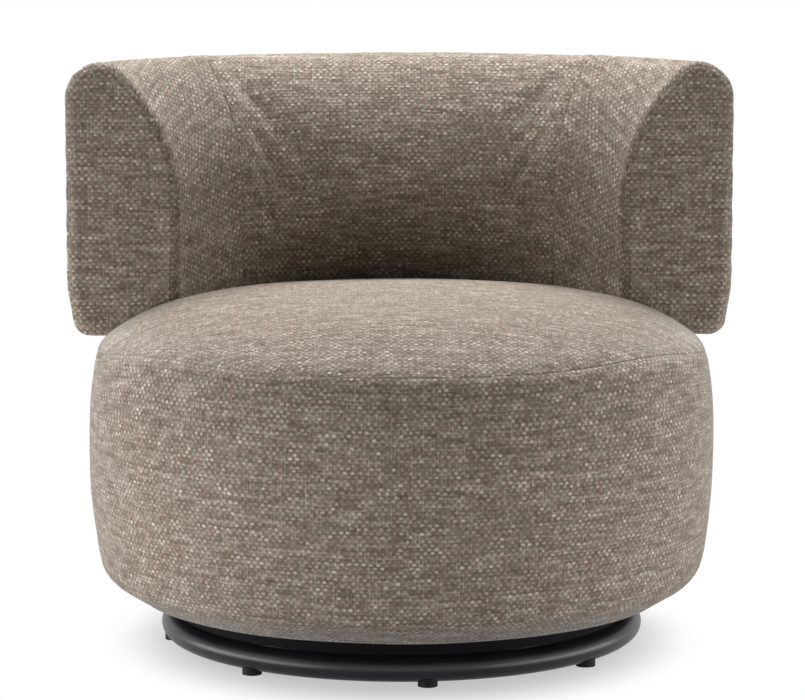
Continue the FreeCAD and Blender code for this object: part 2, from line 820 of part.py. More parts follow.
def make_upright_bolts():
    """Two bolts through each rib and its upright, with heads outside both."""
    body = new_body("upright_bolts")
    shank = new_sketch(body, "shank_sketch", role="XZ_Plane", lift="upright_bolt_start")
    head = new_sketch(body, "head_sketch", role="XZ_Plane", lift="upright_bolt_start")
    nut = new_sketch(body, "nut_sketch", role="XZ_Plane", lift="upright_near")
    for height in ("upright_bolt_low", "upright_bolt_high"):
        add_circle(shank, "frame_bolt_radius", "upright_radius", height)
        add_circle(head, "frame_bolt_head", "upright_radius", height)
        add_circle(nut, "frame_bolt_head", "upright_radius", height)
    copies = [
        pad(body, "shank", shank, "frame_bolt_length"),
        pad(body, "head", head, "frame_bolt_head_height"),
        pad(body, "nut", nut, "frame_bolt_head_height"),
    ]
    doc.recompute()
    row = pattern(body, "set", copies[0], "upright_count", "rear_rib_span")
    row.Originals = copies
    turn_body(body, "rear_rib_start")


def make_straps():
    """Elastic webbing in two crossing layers on the top ring."""
    for label, height, turned_over in (
        ("webbing_straps_lengthwise", "top_ring_height", False),
        ("webbing_straps_crosswise", "cross_strap_height", True),
    ):
        straps = []
        for step in range(count("strap_count")):
            strap = doc.addObject("Part::Box", "%s_%d" % (label, step))
            middle = "Sizes.strap_pitch * (%d - (Sizes.strap_count - 1) / 2)" % step
            near = "(abs(%s) + Sizes.strap_width / 2)" % middle
            half = "sqrt(Sizes.strap_reach ^ 2 - %s ^ 2)" % near
            side, span = ("y", "x") if turned_over else ("x", "y")
            bind(strap, "Length", "2 * " + half if turned_over else "strap_width")
            bind(strap, "Width", "strap_width" if turned_over else "2 * " + half)
            bind(strap, "Height", "strap_thickness")
            bind(strap, "Placement.Base." + side, middle + " - Sizes.strap_width / 2")
            bind(strap, "Placement.Base." + span, "-" + half)
            bind(strap, "Placement.Base.z", height)
            straps.append(strap)
        group = doc.addObject("Part::Compound", label)
        group.Label = label
        group.Links = straps
        nodes.append(group)


# Backrest frame: curved boards about the backrest's own vertical axis


def add_bow(sketch, inner, outer, front):
    """A C-shaped outline between two radii, cut off square at its two fronts."""
    reach = size(front)
    ends = {}
    arcs = {}
    for radius in (inner, outer):
        turn = math.asin(reach / size(radius))
        circle = Part.Circle(Vector(0, 0, 0), up, size(radius))
        arc = sketch.addGeometry(Part.ArcOfCircle(circle, turn, math.pi - turn), False)
        sketch.addConstraint(Sketcher.Constraint("Coincident", arc, 3, -1, 1))
        number = sketch.addConstraint(Sketcher.Constraint("Radius", arc, size(radius)))
        bind(sketch, "Constraints[%d]" % number, radius)
        arcs[radius] = arc
        ends[radius] = size(radius) * math.cos(turn)
    for side, point in ((1, 1), (-1, 2)):
        line = sketch.addGeometry(
            Part.LineSegment(
                Vector(side * ends[inner], reach, 0), Vector(side * ends[outer], reach, 0)
            ),
            False,
        )
        sketch.addConstraint(Sketcher.Constraint("Coincident", line, 1, arcs[inner], point))
        sketch.addConstraint(Sketcher.Constraint("Coincident", line, 2, arcs[outer], point))
        sketch.addConstraint(Sketcher.Constraint("Horizontal", line))
        number = sketch.addConstraint(Sketcher.Constraint("DistanceY", -1, 1, line, 1, reach))
        bind(sketch, "Constraints[%d]" % number, front)


def bow_board(label, inner, outer, front, lift, height):
    body = new_body(label)
    sketch = new_sketch(body, "outline", lift=lift)
    add_bow(sketch, inner, outer, front)
    pad(body, "board", sketch, height)
    bind(body, "Placement.Base.y", "-Sizes.back_axis_offset")
    return body


def make_back_boards():
    bow_board(
        "back_top_rail", "back_frame_inner_radius", "back_frame_outer_radius",
        "rail_front", "rail_top_underside", "rail_thickness",
    )
    bow_board(
        "back_inner_facing", "inner_facing_radius", "back_frame_inner_radius",
        "back_frame_front", "back_frame_low", "back_frame_height",
    )
    bow_board(
        "back_outer_facing", "back_frame_outer_radius", "outer_facing_radius",
        "back_frame_front", "back_frame_low", "back_frame_height",
    )


def make_bottom_rail():
    """The lower rail, with a slot for each upright."""
    blank = bow_board(
        "back_bottom_rail_blank", "back_frame_inner_radius", "back_frame_outer_radius",
        "rail_front", "back_frame_low", "rail_thickness",
    )
    nodes.remove(blank)
    rail = doc.addObject("Part::Cut", "back_bottom_rail")
    rail.Label = "back_bottom_rail"
    rail.Base = blank
    rail.Tool = doc.getObject("upright_slots")
    nodes.append(rail)


def make_upright_slots():
    """The space of the five uprights with their clearance, for the pieces they pass through."""
    body = new_body("upright_slots")
    nodes.remove(body)
    sketch = upright_section(body, "section", "upright_foot", True)
    bar = pad(body, "bar", sketch, "slot_length")
    pattern(body, "set", bar, "upright_count", "rear_rib_span")
    turn_body(body, "rear_rib_start")
    return body


def make_formers():
    corners = [
        ("back_frame_inner_radius", "rail_low_top"),
        ("former_outer", "rail_low_top"),
        ("former_outer", "rail_top_underside"),
        ("back_frame_inner_radius", "rail_top_underside"),
    ]
    for step in range(count("former_count")):
        formula = "90 + Sizes.former_step * (2 * %d - Sizes.former_count + 1)" % step
        label = "back_former_%d" % (step + 1)
        radial_panel(label, corners, "rail_thickness", formula, "back_axis_offset")


def make_end_boards():
    """The plywood ends of the backrest's frame, just behind the arm fronts."""
    for label, side in (("arm_end_board_left", -1), ("arm_end_board_right", 1)):
        bow = bow_board(
            label + "_bow", "back_frame_inner_radius", "back_frame_outer_radius",
            "back_frame_front", "back_frame_low", "back_frame_height",
        )
        nodes.remove(bow)
        box = doc.addObject("Part::Box", label + "_box")
        bind(box, "Length", "outer_facing_radius")
        bind(box, "Width", "end_board_thickness")
        bind(box, "Height", "back_frame_height")
        bind(box, "Placement.Base.z", "back_frame_low")
        bind(box, "Placement.Base.y", "Sizes.back_frame_front - Sizes.back_axis_offset")
        if side < 0:
            bind(box, "Placement.Base.x", "-Sizes.outer_facing_radius")
        board = doc.addObject("Part::Common", label)
        board.Label = label
        board.Base = bow
        board.Tool = box
        nodes.append(board)


# Soft pieces. Their outlines are arcs with shared centres, so that a cover and
# the foam under it are the same form at two depths.


def polar(centre, radius, turn):
    """A point of the half plane (distance from the axis, height)."""
    return (
        centre[0] + radius * math.cos(math.radians(turn)),
        centre[1] + radius * math.sin(math.radians(turn)),
    )


def turn_of(centre, point):
    return math.degrees(math.atan2(point[1] - centre[1], point[0] - centre[0]))


def spot(point):
    return Vector(point[0], 0, point[1])


def line(start, end):
    return Part.LineSegment(spot(start), spot(end)).toShape()


def arc(centre, radius, start, end):
    """The arc from one turn to the other, in degrees from the outward direction."""
    middle = (start + end) / 2
    return Part.Arc(
        spot(polar(centre, radius, start)),
        spot(polar(centre, radius, middle)),
        spot(polar(centre, radius, end)),
    ).toShape()


def circles_meet(first, first_radius, second, second_radius):
    """The upper one of the two points where two circles of the half plane cross."""
    across = second[0] - first[0]
    along = second[1] - first[1]
    apart = math.hypot(across, along)
    share = (first_radius**2 - second_radius**2 + apart**2) / (2 * apart)
    rise = math.sqrt(first_radius**2 - share**2)
    middle = (first[0] + share * across / apart, first[1] + share * along / apart)
    options = [
        (middle[0] + side * rise * along / apart, middle[1] - side * rise * across / apart)
        for side in (-1, 1)
    ]
    return max(options, key=lambda point: point[1])


class DrumForm:
    """The drum's outline at a depth under the cover's outside."""

    def __init__(self, depth):
        belly = size("belly_radius")
        height = size("belly_height")
        self.depth = depth
        self.upper = (belly - size("side_upper_arc"), height)
        self.upper_radius = size("side_upper_arc") - depth
        self.lower = (belly - size("side_lower_arc"), height)
        self.lower_radius = size("side_lower_arc") - depth
        corner_reach = size("side_lower_arc") - size("under_corner_arc")
        corner_drop = size("under_corner_height") - height
        self.lower_turn = math.degrees(math.asin(corner_drop / corner_reach))
        self.corner = polar(self.lower, corner_reach, self.lower_turn)
        self.corner_radius = size("under_corner_arc") - depth
        self.under_turn = size("under_slope_angle") - 90
        self.crown = (0, size("crown_height") - size("crown_arc"))
        self.crown_radius = size("crown_arc") - depth
        flat_turn = 90 - math.degrees(math.asin(size("crown_flat_radius") / size("crown_arc")))
        self.flat_turn = flat_turn
        shoulder_reach = size("crown_arc") - size("shoulder_arc")
        self.shoulder = polar(self.crown, shoulder_reach, flat_turn)
        self.shoulder_radius = size("shoulder_arc") - depth
        self.seam = circles_meet(
            self.shoulder, self.shoulder_radius, self.upper, self.upper_radius
        )
        self.under_start = polar(self.corner, self.corner_radius, self.under_turn)
        self.low = size("drum_lift") + depth
        slope = math.tan(math.radians(size("under_slope_angle")))
        self.edge = (self.under_start[0] - (self.under_start[1] - self.low) / slope, self.low)

    def top_edges(self):
        """From the axis over the crown to the seam."""
        seam_turn = turn_of(self.shoulder, self.seam)
        return [
            arc(self.crown, self.crown_radius, 90, self.flat_turn),
            arc(self.shoulder, self.shoulder_radius, self.flat_turn, seam_turn),
        ]

    def side_edges(self, top=None):
        """From the seam, or a lower height, down to the edge underneath."""
        start = turn_of(self.upper, self.seam)
        if top is not None:
            start = math.degrees(math.asin((top - self.upper[1]) / self.upper_radius))
        return [
            arc(self.upper, self.upper_radius, start, 0),
            arc(self.lower, self.lower_radius, 0, self.lower_turn),
            arc(self.corner, self.corner_radius, self.lower_turn, self.under_turn),
            line(self.under_start, self.edge),
        ]

    def side_point(self, top):
        start = math.degrees(math.asin((top - self.upper[1]) / self.upper_radius))
        return polar(self.upper, self.upper_radius, start)

    def top_point(self):
        return (0, self.crown[1] + self.crown_radius)


def spin(edges, centre=None, turn=full_turn):
    """Turns a closed outline of the half plane about a vertical axis."""
    ordered = Part.Wire(Part.__sortEdges__(edges))
    face = Part.Face(ordered)
    foot = centre or Vector(0, 0, 0)
    face.translate(foot)
    solid = face.revolve(foot, up, turn)
    return solid if solid.Volume > 0 else solid.reversed()


def drum_envelope(depth):
    form = DrumForm(depth)
    low = (0, form.low)
    edges = form.top_edges() + form.side_edges()
    edges += [line(form.edge, low), line(low, form.top_point())]
    return spin(edges)


def soft_node(label, shape):
    """Puts a finished soft shape into the document as one sub-part."""
    feature = doc.addObject("Part::Feature", label)
    feature.Label = label
    feature.Shape = shape
    feature.Placement = Placement()
    nodes.append(feature)
    return feature


def slots():
    return doc.getObject("upright_slots").Shape


def make_drum_foams():
    depth = size("cover_thickness") + size("soft_clearance")
    form = DrumForm(depth)
    low = size("cushion_underside")
    corner = form.side_point(low)
    start = math.degrees(math.asin((low - form.upper[1]) / form.upper_radius))
    cushion = form.top_edges() + [
        arc(form.upper, form.upper_radius, turn_of(form.upper, form.seam), start),
        line(corner, (0, low)),
        line((0, low), form.top_point()),
    ]
    soft_node("seat_cushion_foam", spin(cushion).cut(slots()))
    fit = size("wood_fit")
    wall = [
        (size("board_radius") + fit, form.low),
        (size("board_radius") + fit, size("board_top")),
        (size("drum_frame_radius") + fit, size("rib_flare_height")),
        (size("drum_frame_radius") + fit, low),
    ]
    edges = form.side_edges(low) + [line(form.edge, wall[0])]
    edges += [line(a, b) for a, b in zip(wall, wall[1:])]
    edges += [line(wall[-1], corner)]
    soft_node("drum_side_foam", spin(edges))


def make_drum_covers():
    outer = DrumForm(0)
    inner = DrumForm(size("cover_thickness"))
    seam = line(outer.seam, inner.seam)
    top = outer.top_edges() + inner.top_edges()
    top += [seam, line(inner.top_point(), outer.top_point())]
    soft_node("seat_top_cover", spin(top).cut(slots()))
    flange = size("flange_radius")
    side = outer.side_edges() + inner.side_edges()
    side += [
        seam,
        line(outer.edge, (flange, outer.low)),
        line((flange, outer.low), (flange, inner.low)),
        line((flange, inner.low), inner.edge),
    ]
    soft_node("drum_side_cover", spin(side))


def back_section(depth):
    """The closed outline of the backrest's section at a depth under its cover."""
    outside = size("back_outer_radius")
    corner = size("back_outer_corner")
    crest = (outside - corner, size("back_height") - corner)
    long, short = size("back_lean_arc"), size("back_crest_arc")
    wall = size("back_inner_radius")
    turn = size("back_lean_angle")
    long_centre = (wall + long, size("back_wall_height"))
    short_centre = polar(long_centre, long - short, half_turn - turn)
    low = size("back_lift") + depth
    taper_run = size("back_taper_height") - size("back_lift") - size("back_lower_corner")
    taper_turn = math.degrees(math.atan(size("back_taper") / taper_run))
    lower = size("back_lower_corner")
    lower_centre = (
        outside - size("back_taper") - lower / math.cos(math.radians(taper_turn)),
        size("back_lift") + lower,
    )
    lower_start = polar(lower_centre, lower - depth, -taper_turn)
    slope = math.tan(math.radians(taper_turn))
    bend = (outside - depth, lower_start[1] + (outside - depth - lower_start[0]) / slope)
    hidden_centre = (wall + lower, size("back_lift") + lower)
    return [
        line(bend, (outside - depth, crest[1])),
        arc(crest, corner - depth, 0, 90),
        arc(short_centre, short - depth, 90, half_turn - turn),
        arc(long_centre, long - depth, half_turn - turn, half_turn),
        line((wall + depth, long_centre[1]), (wall + depth, hidden_centre[1])),
        arc(hidden_centre, lower - depth, half_turn, half_turn + quarter_turn),
        line((hidden_centre[0], low), (lower_centre[0], low)),
        arc(lower_centre, lower - depth, -90, -taper_turn),
        line(lower_start, bend),
    ]


def back_envelope(depth):
    """The backrest's whole form at a depth, with rounded arm fronts and the drum taken away."""
    axis_foot = Vector(0, -size("back_axis_offset"), 0)
    form = spin(back_section(depth), axis_foot, half_turn)
    reach = size("back_outer_radius") + size("overrun")
    front = size("back_front") + depth
    keep = Part.makeBox(
        2 * reach, reach, size("back_height") + size("overrun"), Vector(-reach, front, 0)
    )
    form = form.common(keep)
    rim = [edge for edge in form.Edges if edge.BoundBox.YMax < front + size("turning_fit")]
    form = form.makeFillet(size("arm_edge_arc") - depth, rim)
    return form.cut(drum_envelope(-size("soft_clearance"))).Solids[0]


def wedge(start, end):
    """A sector about the backrest's axis, between two turns from the rear, to pick panels."""
    reach = 2 * size("back_outer_radius")
    base = Vector(0, -size("back_axis_offset"), 0)
    sector = Part.makeCylinder(reach, size("back_height") + size("overrun"), base, up, end - start)
    sector.rotate(base, up, quarter_turn + start)
    return sector


def outer_zone():
    """The space of the outer back cover: outside its seam, and all along the bottom edge."""
    base = Vector(0, -size("back_axis_offset"), 0)
    reach = size("back_outer_radius") + size("overrun")
    height = size("back_height") + size("overrun")
    ring = Part.makeCylinder(reach, height, base).cut(
        Part.makeCylinder(size("outer_seam_radius"), height, base)
    )
    foot = Part.makeCylinder(reach, size("back_lift") + 2 * size("cover_thickness"), base)
    return ring.fuse(foot)


def biggest(shape):
    return max(shape.Solids, key=lambda solid: solid.Volume)


def make_back_covers():
    skin = back_envelope(0).cut(back_envelope(size("cover_thickness")))
    reach = size("back_outer_radius") + size("overrun")
    seam = size("back_front") + size("arm_seam_depth")
    fronts = Part.makeBox(
        2 * reach, seam, size("back_height") + size("overrun"), Vector(-reach, 0, 0)
    )
    front_skin = skin.common(fronts)
    body_skin = skin.cut(fronts)
    outer = outer_zone()
    inner_skin = body_skin.cut(outer)
    seam_turn = size("centre_seam_angle")
    soft_node("back_outer_cover", biggest(body_skin.common(outer)))
    soft_node("back_centre_cover", biggest(inner_skin.common(wedge(-seam_turn, seam_turn))))
    soft_node("wing_cover_left", biggest(inner_skin.common(wedge(seam_turn, quarter_turn))))
    soft_node("wing_cover_right", biggest(inner_skin.common(wedge(-quarter_turn, -seam_turn))))
    halves = sorted(front_skin.Solids, key=lambda solid: solid.CenterOfMass.x)
    soft_node("arm_front_cover_left", halves[0])
    soft_node("arm_front_cover_right", halves[-1])


def make_back_foam():
    """The backrest's foam, hollow where its frame sits."""
    fit = size("wood_fit")
    base = Vector(0, -size("back_axis_offset"), 0)
    low = size("back_frame_low") - fit
    height = size("back_frame_height") + 2 * fit
    lift = base + Vector(0, 0, low)
    hollow = Part.makeCylinder(size("outer_facing_radius") + fit, height, lift)
    hollow = hollow.cut(Part.makeCylinder(size("inner_facing_radius") - fit, height, lift))
    reach = size("back_outer_radius")
    front = size("back_frame_front") - size("back_axis_offset") - fit
    hollow = hollow.common(Part.makeBox(2 * reach, reach, 2 * reach, Vector(-reach, front, 0)))
    foam = back_envelope(size("cover_thickness") + size("soft_clearance"))
    foam = foam.cut(hollow).cut(slots())
    soft_node("back_foam", biggest(foam))


def check_document():
    """Stops before anything is written if an object failed or a cut missed its piece."""
    doc.recompute()
    for item in doc.Objects:
        if "Invalid" in item.State or "Error" in item.State:
            raise ValueError("%s failed: %s" % (item.Label, item.State))
    for feature in removals:
        if feature.Shape.Volume >= feature.BaseFeature.Shape.Volume:
            raise ValueError("%s cuts nothing" % feature.Label)
    for node in nodes:
        if node.Shape.isNull() or not node.Shape.isValid() or not node.Shape.Solids:
            raise ValueError("%s has no valid solid" % node.Label)
    if len({node.Label for node in nodes}) != len(nodes):
        raise ValueError("two sub-parts share a label")


def write_parts():
    os.makedirs("parts", exist_ok=True)
    for node in nodes:
        node.Shape.exportStep("parts/%s.step" % node.Label)
    print("%d sub-parts written" % len(nodes))


fill_sheet()
make_base_ring()
make_skirt_band()
make_cross_bars()
make_hub_plate()
make_glides()
make_glide_screws()
make_lower_plate()
make_lower_bolts()
make_pivot()
make_bearing_cage()
make_bearing_balls()
make_upper_plate()
make_upper_screws()
make_bottom_board()
make_dust_cover()
make_ribs()
make_top_ring()
make_straps()
make_uprights()
make_upright_bolts()
make_upright_slots()
make_bottom_rail()
make_back_boards()
make_formers()
make_end_boards()
doc.recompute()
make_drum_foams()
make_drum_covers()
make_back_foam()
make_back_covers()
check_document()
write_parts()
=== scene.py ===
import json
import bmesh
import bpy
import numpy as np
from functools import partial
from math import acos, asin, atan, atan2, cos, degrees, pi, radians, sin, sqrt, tan, tau
from mathutils import Matrix, Vector
from mathutils.kdtree import KDTree

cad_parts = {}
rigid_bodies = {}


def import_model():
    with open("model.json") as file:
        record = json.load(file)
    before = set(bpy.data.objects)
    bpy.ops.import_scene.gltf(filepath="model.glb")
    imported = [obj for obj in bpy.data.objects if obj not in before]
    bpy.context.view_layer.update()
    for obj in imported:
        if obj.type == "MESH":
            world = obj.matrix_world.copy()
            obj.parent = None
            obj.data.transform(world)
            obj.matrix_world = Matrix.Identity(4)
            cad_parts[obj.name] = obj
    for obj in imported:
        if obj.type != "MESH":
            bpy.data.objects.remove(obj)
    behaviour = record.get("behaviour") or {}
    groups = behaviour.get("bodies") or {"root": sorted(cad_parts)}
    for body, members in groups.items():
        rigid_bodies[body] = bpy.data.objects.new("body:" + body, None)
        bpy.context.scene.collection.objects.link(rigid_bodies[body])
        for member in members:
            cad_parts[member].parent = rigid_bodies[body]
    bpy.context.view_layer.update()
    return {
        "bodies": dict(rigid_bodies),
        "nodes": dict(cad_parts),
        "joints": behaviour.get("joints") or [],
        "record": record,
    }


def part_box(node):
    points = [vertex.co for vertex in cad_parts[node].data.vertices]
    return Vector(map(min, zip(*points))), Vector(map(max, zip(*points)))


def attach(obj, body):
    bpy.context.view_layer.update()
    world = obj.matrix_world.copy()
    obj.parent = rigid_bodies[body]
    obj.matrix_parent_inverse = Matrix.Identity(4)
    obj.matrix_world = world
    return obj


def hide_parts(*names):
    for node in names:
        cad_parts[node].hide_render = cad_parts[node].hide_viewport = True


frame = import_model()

# Round swivel armchair: tweed drum seat, wraparound backrest, black steel ring base.
# Forms are worked out in millimetres and turned to metres where a mesh is made.

mm = 0.001
sceneCollection = bpy.context.scene.collection


# Small helpers

# sRGB hex to the linear colour that a shader socket takes
def linearColour(code):
    parts = [int(code[i:i + 2], 16) / 255 for i in (1, 3, 5)]
    return [c / 12.92 if c <= 0.04045 else ((c + 0.055) / 1.055) ** 2.4 for c in parts] + [1.0]


# Adds a node, sets its properties, fills its inputs with values or links, and gives one of its
# outputs, or the node itself. The settings can be the name of an operation alone, and the inputs
# a list from the first one on.
def addNode(tree, kind, settings=None, inputs=(), output=0):
    node = tree.nodes.new(kind)
    if isinstance(settings, str):
        settings = {"operation": settings}
    for name, value in (settings or {}).items():
        setattr(node, name, value)
    for key, value in inputs.items() if isinstance(inputs, dict) else enumerate(inputs):
        socket = node.inputs[key]
        if isinstance(value, bpy.types.NodeSocket):
            tree.links.new(value, socket)
        else:
            socket.default_value = value
    return node if output is None else node.outputs[output]


def newMaterial(name, values):
    material = bpy.data.materials.new(name)
    material.use_nodes = True
    tree = material.node_tree
    shader = tree.nodes["Principled BSDF"]
    for key, value in values.items():
        shader.inputs[key].default_value = value
    return material, tree, shader


def addObject(name, data):
    added = bpy.data.objects.new(name, data)
    sceneCollection.objects.link(added)
    return added


# an object with a new mesh, from places in millimetres
def meshObject(name, places, faces, edges=()):
    mesh = bpy.data.meshes.new(name)
    mesh.from_pydata((np.array(places) * mm).tolist(), edges, faces)
    return addObject(name, mesh)


def unit(vectors):
    return vectors / np.maximum(np.linalg.norm(vectors, axis=-1, keepdims=True), 1e-9)


# Camera, floor and light

camera = {
    "distance": 3.946, "height": 0.882, "turn": -1.2, "pitch": 7.91, "lens": 154.3, "shift": 0.0012,
    "sensor": 36.0, "clip": 60,
}
white = (1, 1, 1, 1)
studio = {
    # the floor's reach is in millimetres
    "floorReach": 14000, "floorColour": "#949395", "floorRoughness": 0.9, "floorSpecular": 0.1,
    "world": 0.015,
    # lift for the camera, metres over which it fades to white, how much sooner at the sides
    "floorSeen": 0.5, "floorWhite": (0.27, 0.41), "floorSide": 1.15,
}
lamps = {
    # name: place, aim, size, watts
    "top_panel": ((0, 0.79, 2.3), (0, 0.2, 0.4), (3.2, 0.8), 120),
    "left_panel": ((-1.05, -0.42, 0.07), (0, -0.15, 0.13), (1.5, 0.1), 9.8),
    "right_panel": ((1.05, -0.42, 0.07), (0, -0.15, 0.13), (1.5, 0.1), 7.6),
    "left_high": ((-1.9, -0.7, 1.35), (0.2, 0.1, 0.5), (0.8, 0.5), 6.5),
    "right_high": ((1.9, -0.7, 1.35), (-0.2, 0.1, 0.5), (0.8, 0.5), 3.2),
    "bounce_board": ((0, -1.4, 0.2), (0, 0, 0.3), (2.6, 0.14), 3.7),
}


def makeCamera():
    data = bpy.data.cameras.new("camera")
    data.sensor_width, data.lens = camera["sensor"], camera["lens"]
    data.shift_x, data.clip_end = camera["shift"], camera["clip"]
    holder = addObject("camera", data)
    turn = radians(camera["turn"])
    holder.location = (
        camera["distance"] * sin(turn), -camera["distance"] * cos(turn), camera["height"])
    holder.rotation_euler = (radians(90 - camera["pitch"]), 0, turn)
    bpy.context.scene.camera = holder


def makeLamps():
    for name, (place, aim, size, power) in lamps.items():
        data = bpy.data.lights.new(name, "AREA")
        data.shape = "RECTANGLE"
        data.size, data.size_y = size
        data.energy = power
        lamp = addObject(name, data)
        lamp.location = place
        lamp.rotation_euler = (Vector(aim) - Vector(place)).to_track_quat("-Z", "Y").to_euler()
        lamp.visible_camera = False


# a ray that shows the white surroundings: to the camera, in a gloss or through glass
def seenRay(tree):
    rays = addNode(tree, "ShaderNodeLightPath", output=None).outputs
    seen = rays["Is Camera Ray"]
    for ray in ("Is Glossy Ray", "Is Transmission Ray"):
        seen = addNode(tree, "ShaderNodeMath", "MAXIMUM", [seen, rays[ray]])
    return seen


# the world lights the room softly, and is plain white where it is seen or mirrored
def makeWorld():
    world = bpy.data.worlds.new("studio_white")
    bpy.context.scene.world = world
    world.use_nodes = True
    tree = world.node_tree
    tree.nodes.clear()
    add = partial(addNode, tree)
    light, plain = (
        add("ShaderNodeBackground", None, {"Color": white, "Strength": strength})
        for strength in (studio["world"], 1.0))
    mix = add("ShaderNodeMixShader", None, [seenRay(tree), light, plain])
    add("ShaderNodeOutputWorld", None, {"Surface": mix}, None)


# painted studio floor: dull and pale; the camera sees it fade to white away from the chair
def makeFloor():
    reach = studio["floorReach"]
    corners = [(-reach, -reach, 0), (reach, -reach, 0), (reach, reach, 0), (-reach, reach, 0)]
    floor = meshObject("floor", corners, [(0, 1, 2, 3)])
    material, tree, shader = newMaterial("matt_white_paint", {
        "Base Color": linearColour(studio["floorColour"]), "Roughness": studio["floorRoughness"],
        "Specular IOR Level": studio["floorSpecular"]})
    add = partial(addNode, tree)
    place = add("ShaderNodeTexCoord", output="Object")
    place = add("ShaderNodeVectorMath", "MULTIPLY", [place, (studio["floorSide"], 1, 1)])
    distance = add("ShaderNodeVectorMath", "LENGTH", [place], "Value")
    near, far = studio["floorWhite"]
    away = add("ShaderNodeMapRange", {"interpolation_type": "SMOOTHSTEP"}, {
        "Value": distance, "From Min": near, "From Max": far})
    seen = seenRay(tree)
    share, lift = (
        add("ShaderNodeMath", "MULTIPLY", [seen, value])
        for value in (away, studio["floorSeen"]))
    plain, glow = (
        add("ShaderNodeEmission", None, {"Color": white, "Strength": strength})
        for strength in (1.0, lift))
    lifted = add("ShaderNodeAddShader", None, [shader.outputs[0], glow])
    mix = add("ShaderNodeMixShader", None, [share, lifted, plain])
    tree.links.new(mix, tree.nodes["Material Output"].inputs["Surface"])
    floor.data.materials.append(material)


bpy.context.scene.view_settings.view_transform = "Standard"
makeCamera()
makeLamps()
makeWorld()
makeFloor()
print("studio")


# Finishes

tweed = {
    "floatPitch": 8.0, "rowPitch": 4.3,        # millimetres between light floats and between rows
    "warp": 0.9, "warpScale": 16.0,            # the rows wander by this much over this length
    "floatSize": (0.25, 0.34, 1), "slip": 0.34,     # half width and height of a float, in pitches
    "stray": (0.22, 0.26, 0), "strayFrom": (-0.61, -0.63, 0),       # a float's place in its cell
    "strength": (1.3, 0.7, 0.45),              # of single floats: power of chance, range, least
    "rest": 0.3, "floatLift": 0.45,            # tone of the ground, and what a float adds
    "patchScale": 15.0, "tintScale": 12.0, "streakStep": (0.045, 7.31, 0),
    "yarnShift": 0.37, "yarnStep": 5.17, "grainRoughness": 0.6,
    # soft steps: from, to, and what the ends give where that isn't 0 and 1
    "patch": (0.36, 0.62, 0.5, 1.0), "streak": (0.4, 0.7, 0.6, 1.5), "floatEdge": (0.15, 1.75, 1.0, 0.0),
    "yarnEdge": (0.16, 0.44), "yarnShown": (0.45, 0.68),
    "tones": ((0.0, "#42382f"), (0.3, "#776b5e"), (0.6, "#a99f93"), (1.0, "#dad1c7")),
    "tints": ((0.33, "#fff5f1"), (0.46, "#ffffff"), (0.56, "#ffffff"), (0.68, "#f5fcf7")),
    "roughness": 0.93, "specular": 0.04, "sheen": 0.24, "sheenRoughness": 0.45,
    "bump": 0.8, "bumpDepth": 1.2,
}
# uneven yarns and fibres: stretch across and up in millimetres, detail, weight in the tone
tweedGrains = (
    (34.0, 5.2, 1.0, 0.34), (60.0, 13.0, 1.0, 0.2), (6.5, 24.0, 1.0, 0.2), (5.0, 4.2, 2.0, 0.24),
    (1.7, 1.2, 2.0, 0.34),
)
# thicker yarns that show as thin light lines: pitch, how far they run, weight, along the row or across
tweedYarns = ((4.3, 30.0, 0.17, True), (4.0, 16.0, 0.12, False))


def rampNode(tree, factor, stops):
    ramp = addNode(tree, "ShaderNodeValToRGB", None, [factor], None)
    while len(ramp.color_ramp.elements) < len(stops):
        ramp.color_ramp.elements.new(0.5)
    for element, (position, colour) in zip(ramp.color_ramp.elements, stops):
        element.position = position
        element.color = linearColour(colour)
    return ramp.outputs[0]


